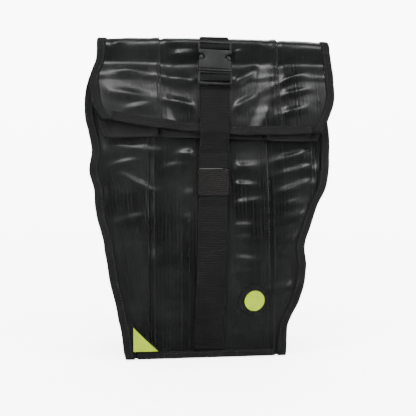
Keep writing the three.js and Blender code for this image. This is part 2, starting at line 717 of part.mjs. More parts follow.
// Middles of a ladder's slots and of the bar between them, below its outer bar
function ladder(outerBar, slot, bar) {
  const first = outerBar + slot / 2;
  return { first, bar: first + slot / 2 + bar / 2, second: first + slot + bar };
}
const SOCKET_TOP = SOCKET_LENGTH + GAP;
const SOCKET_LADDER = ladder(SOCKET_RIM, SLOT, BAR);
const PLUG_LADDER = ladder(PLUG_RIM, SLOT, PLUG_BAR);
const SOCKET_THREAD = {
  barZ: SOCKET_TOP - SOCKET_LADDER.bar,
  bar: BAR,
  slot: SLOT,
  thickness: BAR,
};
const PLUG_THREAD = {
  barZ: PLUG_LADDER.bar - PLUG_LENGTH,
  bar: PLUG_BAR,
  slot: SLOT,
  thickness: PLUG_THICKNESS,
};

// The socket: a hollow shell with a window in each side and a ladder at its upper end
function socketGeometry() {
  const wall = SOCKET_WALL;
  const shell = plate(rounded(BUCKLE_WIDTH, SOCKET_LENGTH, 4), BUCKLE_THICKNESS, 1.2);
  shell.translate(0, 0, GAP + SOCKET_LENGTH / 2);
  const ladderLength = SOCKET_LADDER.second + SLOT / 2 + wall;
  const slots = [SOCKET_LADDER.first, SOCKET_LADDER.second].map((drop) =>
    box(SLOT_WIDTH, THROUGH, SLOT, 0, 0, SOCKET_TOP - drop));
  const thinDepth = (BUCKLE_THICKNESS + BAR) / 2;
  const thinLength = 2 * (ladderLength - wall);
  const thinning = [-1, 1].map((side) =>
    box(2 * BUCKLE_WIDTH, BUCKLE_THICKNESS, thinLength, 0, side * thinDepth, SOCKET_TOP));
  const room = SOCKET_LENGTH - ladderLength;
  const hollow = box(BUCKLE_WIDTH - 4 * wall, BUCKLE_THICKNESS - 2 * wall, room, 0, 0, room / 2);
  const windowZ = WINDOW_PLACE * SOCKET_LENGTH;
  const windows = [-1, 1].map((side) =>
    box(2 * WINDOW_DEPTH, THROUGH, WINDOW_HEIGHT, (side * BUCKLE_WIDTH) / 2, 0, windowZ));
  return geometryOf(cut(solid(shell), [...slots, ...thinning, hollow, ...windows]));
}

// The plug: a ladder, a shoulder, a guide and two sprung arms whose pads show in the socket's windows
function plugGeometry() {
  const frame = plate(rounded(BUCKLE_WIDTH, PLUG_LENGTH, 3.5), PLUG_THICKNESS, 0.9);
  frame.translate(0, 0, -PLUG_LENGTH / 2);
  const shoulder = plate(rounded(BUCKLE_WIDTH, SHOULDER, 0.8), BUCKLE_THICKNESS, 0.4);
  shoulder.translate(0, 0, -SHOULDER / 2);
  const overlap = 1;
  const padZ = WINDOW_PLACE * SOCKET_LENGTH - overlap;
  const reach = padZ + 2 * overlap;
  const inset = BUCKLE_WIDTH / 2 - ARM_INSET;
  const guide = box(ARM + 1, ARM, reach, 0, 0, reach / 2 - overlap);
  const arms = [-1, 1].map((side) =>
    box(ARM, ARM + 1, reach, side * inset, 0, reach / 2 - overlap));
  const pads = [-1, 1].map((side) =>
    box(ARM_PAD, ARM + 1.4, ARM_PAD, side * (inset + ARM_PAD / 2), 0, padZ));
  const slots = [PLUG_LADDER.first, PLUG_LADDER.second].map((rise) =>
    box(SLOT_WIDTH, THROUGH, SLOT, 0, 0, rise - PLUG_LENGTH));
  return geometryOf(cut(join(solid(frame), [shoulder, guide, ...arms, ...pads]), slots));
}

// Webbing round a ladder's middle bar: along it behind, over its front and back behind it.
// way is 1 where the webbing comes from below and -1 where it comes from above.
function threaded(piece, { barZ, bar, slot, thickness, way }) {
  const behind = thickness / 2 + WEBBING / 2 + GAP;
  const middle = bar / 2 + slot / 2;
  const bend = 0.7;
  return [
    [behind, -middle - slot],
    [behind, -middle - bend],
    [behind - bend, -middle],
    [bend - behind, -middle],
    [-behind, bend - middle],
    [-behind, middle - bend],
    [bend - behind, middle],
    [behind / 3, middle],
  ].map(([y, z]) => onPiece(piece, y, barZ + way * z));
}

function addStrap() {
  const footZ = BASE_TAPE_WIDTH + SEAM_FOOT + GAP;
  const ramp = 12;
  const mouth = mouthZ("inner", STRAP_HEAD_X) - TAPE_WIDTH;
  const low = bodyRows.filter((z) => z > footZ + 4 && z < KEEPER_FOOT - ramp);
  const high = bodyRows.filter((z) => z > KEEPER_FOOT + KEEPER_HEIGHT + ramp && z < mouth);
  const front = (heights, lift) => heights.map((z) => onFront(z, lift));
  const overTape = TAPE + 2 * FACET_GAP;
  const overBar = threaded(buckle, { ...PLUG_THREAD, way: 1 });
  const flap = range(FLAP_ROWS)
    .map((i) => strapPlace(backRows[ROWS - 1 - i], STRAP_LIFT + (i < 2 ? overTape : 0)))
    .filter((place) => place.z < overBar[0].z - WEBBING);
  const path = [
    ...front([footZ, ...low], STRAP_LIFT),
    ...front(KEEPER_ROWS, KEEPER_LIFT),
    ...front(high, STRAP_LIFT),
    ...flap,
    ...overBar,
  ];
  add("closure_strap", band(path, WEBBING_WIDTH, WEBBING), "webbing");
}

// From the back, over the fold and round the socket's bar
function addUpperStrap() {
  const start = bodyRows.findIndex((z) => z > 0.8 * FOLD_CENTRE_Z);
  const end = bodyRows.length + FOLD_STEPS / 2 + 1;
  const over = backRows.slice(start, end).map((row) => strapPlace(row, STRAP_LIFT));
  const loop = threaded(buckle, { ...SOCKET_THREAD, way: -1 });
  add("upper_strap", band([...over, ...loop], WEBBING_WIDTH, WEBBING), "webbing");
}

// An elastic keeper round the strap: across its front and a little way in behind it
function addKeeper() {
  const half = WEBBING_WIDTH / 2 + GAP;
  const wall = (clear) => KEEPER_ROWS.map((z) => {
    const place = (x, lift) => frontAt(strapX(z), z, KEEPER_LIFT + lift).add(v3(x, 0, 0));
    const [front, behind] = [WEBBING / 2 + GAP + clear, -WEBBING / 2 - GAP / 2 - clear];
    return [
      place(-half + KEEPER_RETURN, behind),
      place(-half - clear, behind),
      place(-half - clear, front),
      place(half + clear, front),
      place(half + clear, behind),
      place(half - KEEPER_RETURN, behind),
    ];
  });
  add("strap_keeper", sheet(wall(TAPE), wall(0)), "webbing");
}

// A thin patch on the front: its outline's corners follow the front's own surface
function patch(outline, lift) {
  const steps = 3;
  const grid = outline(steps).map((row) => row.map(([x, z]) => frontAt(x, z, lift)));
  return cloth(grid, TRIM);
}

function frontAt(x, z, lift) {
  const p = bodyProfile("front", z);
  const edge = (side) => WIDTH * at(OUTLINE, "height", shareOf(z), side);
  const out = frontRelief(x, z, edge("left"), edge("right")) + lift;
  return v3(x, p.y + out * p.ny, p.z + out * p.nz);
}

// The reflective triangle in the lower left corner, on a slightly larger dark one
function addCorner() {
  const x = frontRows[1].left + TAPE_WIDTH;
  const z = SEAM_FOOT + BASE_TAPE_WIDTH + GAP;
  const triangle = (leg, shift) => (steps) =>
    range(steps + 1).map((r) => {
      const height = (leg * r) / steps;
      const width = Math.max(0.6, leg * (1 - r / steps));
      return range(steps + 1).map((c) => [x + shift + (width * c) / steps, z + shift + height]);
    });
  const lift = RUBBER / 2 + FACET_GAP + TRIM / 2;
  add("corner_backing", patch(triangle(CORNER_LEG + CORNER_BORDER, 0), lift), "nylon");
  add("reflective_triangle", patch(triangle(CORNER_LEG, GAP), lift + TRIM + GAP), "reflective");
}

// A plain round patch with a reflective dot where the front carries its badge
function addBadge() {
  const disc = (radius) => (steps) => {
    const rows = 2 * steps;
    return range(rows + 1).map((r) => {
      const t = (-Math.PI / 2) * 0.97 + (Math.PI * 0.97 * r) / rows;
      const half = radius * Math.cos(t);
      const z = BADGE_Z + radius * Math.sin(t);
      return range(steps + 1).map((c) => [BADGE_X - half + (2 * half * c) / steps, z]);
    });
  };
  const lift = RUBBER / 2 + FACET_GAP + TRIM / 2 + 0.3;
  add("badge_patch", patch(disc(BADGE_RADIUS), lift), "nylon");
  add("badge_dot", patch(disc(BADGE_DOT_RADIUS), lift + TRIM + GAP), "reflective");
}

// A shoulder strap's line: height is a share of HEIGHT, reach runs from the top to the foot,
// lift is a share of PAD_LIFT and width of PAD_WIDTH
const HARNESS = table(["height", "reach", "lift", "width"], [
  [0.822, 0, 0.16, 0.9],
  [0.79, 0.06, 0.3, 1],
  [0.72, 0.26, 0.62, 1],
  [0.64, 0.46, 0.88, 1],
  [0.56, 0.64, 1, 1],
  [0.48, 0.78, 1, 0.96],
  [0.4, 0.89, 0.84, 0.86],
  [0.33, 0.96, 0.62, 0.7],
  [0.28, 1, 0.5, 0.56],
]);
// A pad's section: across is a share of its width from its middle, fullness of PAD_THICKNESS
const PAD_SECTION = table(["across", "fullness"], [
  [-0.5, 0.45],
  [-0.36, 0.85],
  [0, 1],
  [0.36, 0.85],
  [0.5, 0.45],
]);
const PAD_FOOT = HARNESS[HARNESS.length - 1];
const BACK_LIFT = RUBBER / 2 + FACET_GAP;

function backAt(x, z, lift) {
  const p = bodyProfile("back", z);
  const out = backRelief(x, z, backEdge("left", z), backEdge("right", z)) + lift;
  return v3(x, p.y + out * p.ny, p.z + out * p.nz);
}

function addHarness(side) {
  const sign = side === "left" ? -1 : 1;
  const reachX = (reach) => sign * lerp(HARNESS_TOP_X, HARNESS_FOOT_X, reach);
  const face = (out) =>
    HARNESS.map((row) =>
      PAD_SECTION.map(({ across, fullness }) => {
        const x = reachX(row.reach) + across * PAD_WIDTH * row.width;
        const middle = Math.max(BACK_LIFT + PAD_THICKNESS / 2, PAD_LIFT * row.lift);
        return backAt(x, row.height * HEIGHT, middle + (out * fullness * PAD_THICKNESS) / 2);
      }),
    );
  add(`${side}_shoulder_strap`, sheet(face(1), face(-1)), "nylon");

  // The adjuster hangs just below the pad, and the lower webbing runs from it to the foot of the back
  const padZ = PAD_FOOT.height * HEIGHT;
  const z = padZ - GAP - ADJUSTER_LENGTH / 2;
  const footZ = TAPE_WIDTH + 4 * GAP + SEAM_FOOT;
  const flat = BACK_LIFT + WEBBING / 2;
  const lift = (place) => lerp(flat, PAD_LIFT * PAD_FOOT.lift, smoothstep(place, footZ, padZ));
  const onLine = (place) => backAt(reachX(1), place, lift(place));
  const [middle, above, below] = [0, 1, -1].map((way) => onLine(z + (way * ADJUSTER_LENGTH) / 3));
  const group = new THREE.Group();
  group.position.copy(middle);
  group.rotation.set(Math.atan2(below.y - above.y, above.z - below.z), 0, Math.PI);
  bag.add(group);
  const [bar, opening] = [ADJUSTER_BAR, ADJUSTER_OPENING];
  const frame = plate(rounded(ADJUSTER_WIDTH, ADJUSTER_LENGTH, 4), ADJUSTER_THICKNESS, 0.9);
  const slots = [-1, 1].map((way) =>
    box(HARNESS_WEBBING_WIDTH + 2 * GAP, THROUGH, opening, 0, 0, (way * (opening + bar)) / 2));
  add(`${side}_adjuster`, geometryOf(cut(solid(frame), slots)), "plastic", group);

  group.updateMatrix();
  const thread = { barZ: 0, bar, slot: opening, thickness: ADJUSTER_THICKNESS, way: 1 };
  const overBar = threaded(group, thread);
  const steps = 7;
  const lowest = overBar[0].z - 4;
  const free = range(steps).map((i) => {
    const height = lerp(footZ, lowest, i / (steps - 1));
    const p = backAt(reachX(1), height, 0);
    const close = lerp(flat, overBar[0].y - p.y, smoothstep(height, footZ, lowest));
    return backAt(reachX(1), height, close);
  });
  add(`${side}_lower_webbing`, band([...free, ...overBar], HARNESS_WEBBING_WIDTH, WEBBING), "webbing");
}

addStrips("front", frontRows);
addStrips("back", backRows);
addGussets();
for (const side of ["left", "right"]) {
  addSeamTape(`front_${side}_tape`, frontRows, side);
  addSeamTape(`back_${side}_tape`, backRows, side);
}
addMouthTapes();
addBase();
placeBuckle();
bag.add(buckle);
add("buckle_socket", socketGeometry(), "plastic", buckle);
add("buckle_plug", plugGeometry(), "plastic", buckle);
addStrap();
addUpperStrap();
addKeeper();
addCorner();
addBadge();
for (const side of ["left", "right"]) addHarness(side);

// The origin is on the floor, under the middle of the whole backpack
const bounds = new THREE.Box3().setFromObject(bag);
const centre = bounds.getCenter(v3(0, 0, 0));
bag.position.set(-centre.x, -centre.y, -bounds.min.z);

const backpack = new THREE.Group();
backpack.add(bag);
export default backpack;
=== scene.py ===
# A roll-top bicycle backpack sewn from strips of inner tube, dressed and lit for rendering.
# The bag's own functions work in millimetres in the frame that its source uses.
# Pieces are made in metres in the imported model's frame.
import bpy
import json
import math
import numpy as np
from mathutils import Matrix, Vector

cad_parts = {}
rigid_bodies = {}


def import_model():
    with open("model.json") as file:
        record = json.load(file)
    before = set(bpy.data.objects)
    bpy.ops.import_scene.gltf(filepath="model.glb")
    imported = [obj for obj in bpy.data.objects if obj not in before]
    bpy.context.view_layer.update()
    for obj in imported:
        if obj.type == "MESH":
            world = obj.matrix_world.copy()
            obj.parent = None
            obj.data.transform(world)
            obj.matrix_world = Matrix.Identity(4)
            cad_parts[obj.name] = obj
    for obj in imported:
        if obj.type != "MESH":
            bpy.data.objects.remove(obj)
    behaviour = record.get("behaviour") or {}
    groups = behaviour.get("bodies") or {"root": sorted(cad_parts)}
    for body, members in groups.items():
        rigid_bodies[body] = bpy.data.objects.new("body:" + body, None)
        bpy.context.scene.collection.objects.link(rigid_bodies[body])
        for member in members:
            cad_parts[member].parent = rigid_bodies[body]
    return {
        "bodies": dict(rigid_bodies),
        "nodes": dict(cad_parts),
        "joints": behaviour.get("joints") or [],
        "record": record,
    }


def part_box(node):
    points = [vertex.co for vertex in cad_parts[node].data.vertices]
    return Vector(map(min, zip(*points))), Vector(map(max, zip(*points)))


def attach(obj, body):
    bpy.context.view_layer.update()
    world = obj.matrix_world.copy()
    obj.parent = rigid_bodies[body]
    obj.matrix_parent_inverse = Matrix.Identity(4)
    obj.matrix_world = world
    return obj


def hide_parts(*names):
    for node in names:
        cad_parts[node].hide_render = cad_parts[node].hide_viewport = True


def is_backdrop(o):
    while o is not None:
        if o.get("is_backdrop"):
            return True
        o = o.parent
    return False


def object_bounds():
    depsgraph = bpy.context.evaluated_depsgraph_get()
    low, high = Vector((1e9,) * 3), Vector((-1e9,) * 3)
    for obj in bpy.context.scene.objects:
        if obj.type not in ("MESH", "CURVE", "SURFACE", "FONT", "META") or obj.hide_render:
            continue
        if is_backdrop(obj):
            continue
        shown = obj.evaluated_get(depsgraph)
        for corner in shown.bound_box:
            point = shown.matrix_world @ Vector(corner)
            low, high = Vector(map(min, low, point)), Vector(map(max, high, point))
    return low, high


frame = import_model()
CAD_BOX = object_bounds()

# Driving sizes of the bag
HEIGHT = 411
WIDTH = 320
DEPTH = 118
CROWN = 9
BACK_CROWN = 2.7
TUCK = 57
BACK_BASE_WIDTH = 202
BACK_TOP_WIDTH = 306

# Driving sizes of the cloth
RUBBER = 1.8
GUSSET = 1.4
BASE_SHEET = 2.4
TAPE = 0.9
TAPE_WIDTH = 11
BASE_TAPE_WIDTH = 8.5
WEBBING = 1.8
WEBBING_WIDTH = 38
GAP = 0.4
FACET_GAP = 0.6

# The fold
FOLD_RADIUS = 5
LAYER_GAP = 9.4
LAYER_GAP_MIDDLE = 5.4
FLAP_GAP = 4.5
FOLD_CENTRE_Y = 4.4
FOLD_TOP_SLACK = 0.6
OUTER_RADIUS = FOLD_RADIUS + LAYER_GAP
FOLD_CENTRE_Z = HEIGHT - OUTER_RADIUS - RUBBER / 2 - FOLD_TOP_SLACK

# Seams between the strips of tube, as shares of WIDTH
FRONT_SEAMS = (-0.247, 0.01, 0.23)
BACK_SEAMS = (-0.194, 0.04, 0.291)
BACK_SEAM_TAPER = 0.8
LAPPED = (True, False, True)  # the middle seam lies flat under the strap
LAP = 5  # how far a strip covers the next one
LAP_RISE = 0.7  # of the strip on top
LAP_SINK = RUBBER + GAP - LAP_RISE  # of the strip below
LAP_RAMP = (-7, -0.8)  # where the strip on top rises, measured from its seam
LAP_END = (LAP + 0.4, LAP + 3)  # where what lies on the seam comes down again
LAP_SUNK = (LAP + 0.5, LAP + 8)  # where the strip below comes up again
LAP_STITCHES = (0.8, LAP - 1.4)

# How the rubber leaves its smooth form
RIPPLE = 1.6  # of the long edges
RIPPLE_LENGTH = 24
CROWN_POWER = 2.5
FOLD_CROWN = 2.5  # of the fold's middle
MOUTH_DROP = 105  # from the fold to the mouth
MOULD_LINES = 210  # to a metre of rubber
CREASES = ((1.0, 42, 19), (0.3, 23, 7), (0.6, 16, 46))  # rise, width and height
BACK_CREASING = 1.2
FLAP_CREASING = 0.6
SEEDS = {"front": 11, "back": 23, "flap": 31, "left": 41, "right": 42, "gusset": 41, "seam": 51, "mouth": 61}

# Where the relief starts and where it is full, measured from what holds the rubber flat
CALM_BY_STRAP = (3, 14)
CALM_BY_FLOOR = (10, 36)
CALM_BY_FOLD = (4, 40)
CALM_EDGE = (12, 44)
TUCK_END = (TUCK + 14, TUCK + 34)

# The closure strap leans a little to the right as it rises
STRAP_FOOT_X = -1
STRAP_HEAD_X = 15

# Buckle, keeper and harness
BUCKLE_WIDTH = 44
BUCKLE_THICKNESS = 9
SOCKET_LENGTH = 40
PLUG_LENGTH = 21
PLUG_THICKNESS = 5
BAR = 3.2
PLUG_BAR = 5
SLOT = 3.6
SOCKET_RIM = 1.8
PLUG_RIM = 3.4
BUCKLE_DROP = 43
KEEPER_HEIGHT = 34
KEEPER_FOOT = 204
KEEPER_RETURN = 9
# Thickness of the pale strip that paints the highlight on the keeper's top edge
KEEPER_HIGHLIGHT_THICKNESS = 0.8
PAD_THICKNESS = 9
PAD_WIDTH = 58
PAD_LIFT = 36
HARNESS_WEBBING_WIDTH = 25
HARNESS_TOP_X = 44
HARNESS_FOOT_X = 72
ADJUSTER_WIDTH = 33
ADJUSTER_LENGTH = 27
ADJUSTER_THICKNESS = 5
ADJUSTER_BAR = 3
ADJUSTER_OPENING = 6

# Trim on the front
CORNER_LEG = 31
CORNER_BORDER = 4
TRIM = 0.7
BADGE_RADIUS = 20
BADGE_DOT_RADIUS = 13
BADGE_X = 58
BADGE_Z = 74

# How finely the cloth is divided, in millimetres
STEP = 2.0
TAPE_STEP = 0.9
BAND_STEP = 1.6

METRE = 0.001
TINY = 1e-9
INWARDS = {"left": 1, "right": -1}  # the way from each edge to the middle


def table(columns, rows):
    return {name: np.array([row[i] for row in rows], float) for i, name in enumerate(columns)}


# Front seams seen from the front: height is a share of HEIGHT, left and right are shares of WIDTH
OUTLINE = table(("height", "left", "right"), (
    (0, -0.321, 0.313),
    (0.029, -0.33, 0.315),
    (0.088, -0.335, 0.317),
    (0.136, -0.348, 0.34),
    (0.185, -0.362, 0.37),
    (0.287, -0.39, 0.39),
    (0.343, -0.398, 0.388),
    (0.377, -0.401, 0.395),
    (0.418, -0.413, 0.417),
    (0.462, -0.429, 0.437),
    (0.55, -0.447, 0.481),
    (0.594, -0.455, 0.495),
    (0.637, -0.454, 0.503),
    (0.681, -0.455, 0.51),
    (0.725, -0.463, 0.512),
    (0.769, -0.473, 0.507),
    (0.856, -0.474, 0.505),
    (0.935, -0.445, 0.504),
    (1, -0.413, 0.503),
))

# The bag seen from the side: front and back are shares of DEPTH, crown of CROWN, tuck of TUCK
SIDE = table(("height", "front", "back", "crown", "tuck"), (
    (0, -0.5, 0.5, 0, 0),
    (0.03, -0.5, 0.5, 0, 0),
    (0.09, -0.507, 0.5, 0.5, -0.02),
    (0.24, -0.505, 0.49, 1, -0.06),
    (0.4, -0.465, 0.455, 1, -0.03),
    (0.52, -0.4, 0.41, 0.9, 0.08),
    (0.64, -0.32, 0.35, 0.7, 0.36),
    (0.76, -0.22, 0.28, 0.4, 0.78),
    (0.86, -0.11, 0.215, 0.2, 0.93),
    (0.93, -0.02, 0.18, 0.05, 0.98),
    (1, 0.08, 0.15, 0, 1),
))

# Edges of the folded layers: drop runs from the fold to the mouth, the rest are shares of WIDTH
FLAP = table(("drop", "left", "right", "innerLeft", "innerRight"), (
    (0, -0.426, 0.53, -0.413, 0.503),
    (0.15, -0.434, 0.537, -0.42, 0.51),
    (0.32, -0.446, 0.534, -0.43, 0.508),
    (0.5, -0.458, 0.528, -0.438, 0.503),
    (0.68, -0.455, 0.514, -0.433, 0.489),
    (0.84, -0.44, 0.49, -0.42, 0.47),
    (1, -0.411, 0.464, -0.4, 0.447),
))

# The mouth's edge: across is a share of WIDTH, and the two layers end at shares of HEIGHT
MOUTH = table(("across", "outer", "inner"), (
    (-0.44, 0.746, 0.674),
    (-0.256, 0.719, 0.684),
    (-0.025, 0.703, 0.681),
    (0.1, 0.696, 0.679),
    (0.256, 0.692, 0.674),
    (0.47, 0.698, 0.668),
))

# Folds of the rubber: across and length are shares of WIDTH, height and spread of HEIGHT,
# rise is millimetres, slope is the rise of the fold's line to the right
FOLD_COLUMNS = ("across", "height", "length", "spread", "rise", "slope")
FRONT_FOLDS = table(FOLD_COLUMNS, (
    (-0.3, 0.645, 0.1, 0.014, 3, -0.1),
    (-0.33, 0.6, 0.06, 0.012, 2.4, 0.2),
    (-0.27, 0.535, 0.06, 0.014, 3, -0.5),
    (-0.4, 0.48, 0.016, 0.05, 3, 0.4),
    (-0.3, 0.43, 0.07, 0.014, 2.4, 0.15),
    (-0.37, 0.31, 0.014, 0.03, 2.6, 0.3),
    (-0.3, 0.35, 0.05, 0.014, 1.8, 0),
    (-0.33, 0.15, 0.024, 0.014, 4, -0.4),
    (-0.31, 0.12, 0.03, 0.01, 2.4, 0.3),
    (-0.07, 0.625, 0.05, 0.014, 3.2, 0),
    (-0.14, 0.585, 0.06, 0.014, 2, 0.2),
    (-0.05, 0.505, 0.04, 0.016, 3.6, 0.2),
    (-0.07, 0.43, 0.045, 0.014, 3, 0),
    (-0.15, 0.33, 0.09, 0.022, 2.6, 0.3),
    (-0.12, 0.26, 0.05, 0.02, 1.6, -0.3),
    (-0.12, 0.12, 0.08, 0.02, 2, 0),
    (0.14, 0.585, 0.06, 0.014, 3.6, 0),
    (0.13, 0.53, 0.06, 0.013, 3.2, -0.05),
    (0.15, 0.475, 0.07, 0.015, 3.8, 0.15),
    (0.13, 0.405, 0.06, 0.013, 3.6, 0),
    (0.14, 0.37, 0.06, 0.01, 2.4, -0.05),
    (0.14, 0.305, 0.06, 0.013, 3.6, -0.08),
    (0.13, 0.27, 0.05, 0.01, 2.6, 0.05),
    (0.17, 0.205, 0.06, 0.012, 2.8, 0.1),
    (0.12, 0.07, 0.04, 0.02, 2, -0.3),
    (0.35, 0.62, 0.07, 0.013, 3.2, 0.3),
    (0.36, 0.575, 0.08, 0.012, 3.6, 0.25),
    (0.36, 0.525, 0.08, 0.013, 3.8, 0.35),
    (0.34, 0.475, 0.05, 0.012, 2.4, 0.2),
    (0.34, 0.435, 0.07, 0.013, 3, 0.3),
    (0.34, 0.37, 0.05, 0.014, 2.6, 0.5),
    (0.36, 0.3, 0.016, 0.03, 2.6, -0.3),
    (0.31, 0.22, 0.07, 0.012, 3, 0.1),
    (0.33, 0.13, 0.04, 0.014, 2, 0.2),
))
FLAP_FOLDS = table(FOLD_COLUMNS, (
    (-0.36, 0.975, 0.05, 0.012, 2.4, 0.6),
    (-0.31, 0.89, 0.05, 0.013, 3.4, 0),
    (-0.31, 0.815, 0.07, 0.015, 3.4, -0.1),
    (-0.27, 0.775, 0.04, 0.012, 2, 0.2),
    (-0.1, 0.945, 0.06, 0.014, 4, 0.15),
    (-0.1, 0.865, 0.07, 0.017, 4.6, -0.1),
    (-0.1, 0.79, 0.06, 0.015, 4, -0.2),
    (0.12, 0.945, 0.05, 0.014, 3.6, 0.6),
    (0.13, 0.86, 0.06, 0.016, 4, 0.6),
    (0.14, 0.785, 0.06, 0.014, 3.4, 0.6),
    (0.19, 0.9, 0.03, 0.012, 2, 0.3),
    (0.35, 0.87, 0.05, 0.011, 3, 0.4),
    (0.36, 0.825, 0.05, 0.01, 2.6, 0.25),
    (0.35, 0.765, 0.05, 0.012, 2.6, 0.3),
    (0.33, 0.94, 0.05, 0.014, 2, 0.5),
))

# A shoulder strap's line: height is a share of HEIGHT, reach runs from the top to the foot,
# lift is a share of PAD_LIFT and width of PAD_WIDTH
HARNESS = table(("height", "reach", "lift", "width"), (
    (0.822, 0, 0.16, 0.9),
    (0.79, 0.06, 0.3, 1),
    (0.72, 0.26, 0.62, 1),
    (0.64, 0.46, 0.88, 1),
    (0.56, 0.64, 1, 1),
    (0.48, 0.78, 1, 0.96),
    (0.4, 0.89, 0.84, 0.86),
    (0.33, 0.96, 0.62, 0.7),
    (0.28, 1, 0.5, 0.56),
))


def lerp(a, b, t):
    return a + (b - a) * t


def smoothstep(x, low, high):
    t = np.clip((np.asarray(x, float) - low) / (high - low), 0, 1)
    return t * t * (3 - 2 * t)


# A column of a table at places between its rows, on a smooth curve through them
def at(rows, key, place, column):
    keys, values = rows[key], rows[column]
    last = len(keys) - 1
    before = np.maximum(np.arange(last + 1) - 1, 0)
    after = np.minimum(np.arange(last + 1) + 1, last)
    slopes = (values[after] - values[before]) / (keys[after] - keys[before])
    place = np.clip(np.asarray(place, float), keys[0], keys[-1])
    i = np.clip(np.searchsorted(keys, place) - 1, 0, last - 1)
    step = keys[i + 1] - keys[i]
    t = (place - keys[i]) / step
    t2, t3 = t * t, t * t * t
    low = (2 * t3 - 3 * t2 + 1) * values[i] + (t3 - 2 * t2 + t) * step * slopes[i]
    high = (3 * t2 - 2 * t3) * values[i + 1] + (t3 - t2) * step * slopes[i + 1]
    return low + high


NOISE_LATTICE = 64
SLOPE_SPAN = 3  # how far to each side a profile's slope is taken


# Smooth noise from -1 to 1 on a plane, with one bump to a unit, the same at every run
def noise(u, v, seed):
    size = NOISE_LATTICE
    lattice = np.random.default_rng(seed).uniform(-1, 1, (size, size))
    u, v = np.broadcast_arrays(np.asarray(u, float), np.asarray(v, float))
    i, j = np.floor(u).astype(int), np.floor(v).astype(int)
    fu, fv = u - i, v - j
    fu, fv = fu * fu * (3 - 2 * fu), fv * fv * (3 - 2 * fv)
    corner = lambda a, b: lattice[(i + a) % size, (j + b) % size]
    return lerp(lerp(corner(0, 0), corner(1, 0), fu), lerp(corner(0, 1), corner(1, 1), fu), fv)


# The bag's surfaces in side view: y, z and the way out of the bag
def share_of(z):
    return np.clip(z / FOLD_CENTRE_Z, 0, 1)


FOLD_Y = {"front": FOLD_CENTRE_Y + FOLD_RADIUS, "back": FOLD_CENTRE_Y + OUTER_RADIUS}


def side_y(face, z):
    share = share_of(z)
    return lerp(DEPTH * at(SIDE, "height", share, face), FOLD_Y[face], smoothstep(share, 0.9, 1))


def body_profile(face, z):
    low, high = np.maximum(0, z - SLOPE_SPAN), np.minimum(FOLD_CENTRE_Z, z + SLOPE_SPAN)
    slope = (side_y(face, high) - side_y(face, low)) / (high - low)
    size = np.hypot(1, slope)
    out = -1 if face == "front" else 1
    return side_y(face, z), z, out / size, -out * slope / size


def fold_profile(radius, angle, inside):
    c, s = np.cos(angle), np.sin(angle)
    out = -1 if inside else 1
    return FOLD_CENTRE_Y + radius * c, FOLD_CENTRE_Z + radius * s, out * c, out * s


def flap_profile(layer, z):
    front_y, _, ny, nz = body_profile("front", z)
    settle = smoothstep(FOLD_CENTRE_Z - z, 0, 5 * FOLD_RADIUS)
    tilt = np.arctan2(nz, -ny) * settle
    over_crown = FLAP_GAP + CROWN * at(SIDE, "height", share_of(z), "crown")
    gap = lerp(2 * FOLD_RADIUS, over_crown, settle) + (LAYER_GAP if layer == "outer" else 0)
    out = -1 if layer == "outer" else 1
    return front_y - gap / np.cos(tilt), z, out * np.cos(tilt), -out * np.sin(tilt)


def strap_x(z):
    return lerp(STRAP_FOOT_X, STRAP_HEAD_X, z / HEIGHT)


def mouth_z(layer, x):
    return HEIGHT * at(MOUTH, "across", x / WIDTH, layer)


# Relief of the rubber
def folds(rows, x, z):
    rise = 0
    for across, height, length, spread, amount, slope in zip(*(rows[name] for name in FOLD_COLUMNS)):
        dx = x - across * WIDTH
        dz = z - height * HEIGHT - slope * dx
        rise = rise + amount * np.exp(-((dx / (length * WIDTH)) ** 2) - (dz / (spread * HEIGHT)) ** 2)
    return rise


# One where the rubber is free to crease, nought at its edges, the strap and the floor
def calm(x, z, left, right):
    beside = np.minimum(x - left, right - x) - TAPE_WIDTH
    strap_edge = np.abs(x - strap_x(z)) - WEBBING_WIDTH / 2
    near_strap = smoothstep(strap_edge, *CALM_BY_STRAP)
    return smoothstep(beside, 0, TAPE_WIDTH) * near_strap * smoothstep(z, *CALM_BY_FLOOR)


def crown_share(x, left, right):
    half = (right - left) / 2 - TAPE_WIDTH
    return 1 - np.minimum(1, np.abs(x - (left + right) / 2) / half) ** CROWN_POWER


# The folded layers lie closer in the middle, where no gusset is tucked between them
def closeness(x, left, right):
    beside = np.minimum(x - left, right - x) - TAPE_WIDTH
    return -(LAYER_GAP - LAYER_GAP_MIDDLE) * smoothstep(beside, *TUCK_END)


# Small creases that the tube keeps from its first life
def crumple(x, z, seed):
    bumps = enumerate(CREASES, seed)
    return sum(rise * noise(x / width, z / height, own_seed) for own_seed, (rise, width, height) in bumps)


# How far a lapped seam lifts what lies on it
def lap_lift(x, seams):
    lift = 0
    for seam, lapped in zip(seams, LAPPED):
        if lapped:
            lift = lift + LAP_RISE * smoothstep(x - seam, *LAP_RAMP) * (1 - smoothstep(x - seam, *LAP_END))
    return lift


def front_edges(z):
    share = share_of(z)
    return tuple(WIDTH * at(OUTLINE, "height", share, side) for side in ("left", "right"))


def back_edges(z):
    share = share_of(z)
    half = lerp(BACK_BASE_WIDTH, BACK_TOP_WIDTH, smoothstep(share, 0, 0.85)) / 2
    turn = smoothstep(share, 0.75, 1)
    return lerp(-half, WIDTH * FLAP["left"][0], turn), lerp(half, WIDTH * FLAP["right"][0], turn)


def front_relief(x, z):
    left, right = front_edges(z)
    crown = CROWN * at(SIDE, "height", share_of(z), "crown") * crown_share(x, left, right)
    return crown + (folds(FRONT_FOLDS, x, z) + crumple(x, z, SEEDS["front"])) * calm(x, z, left, right)


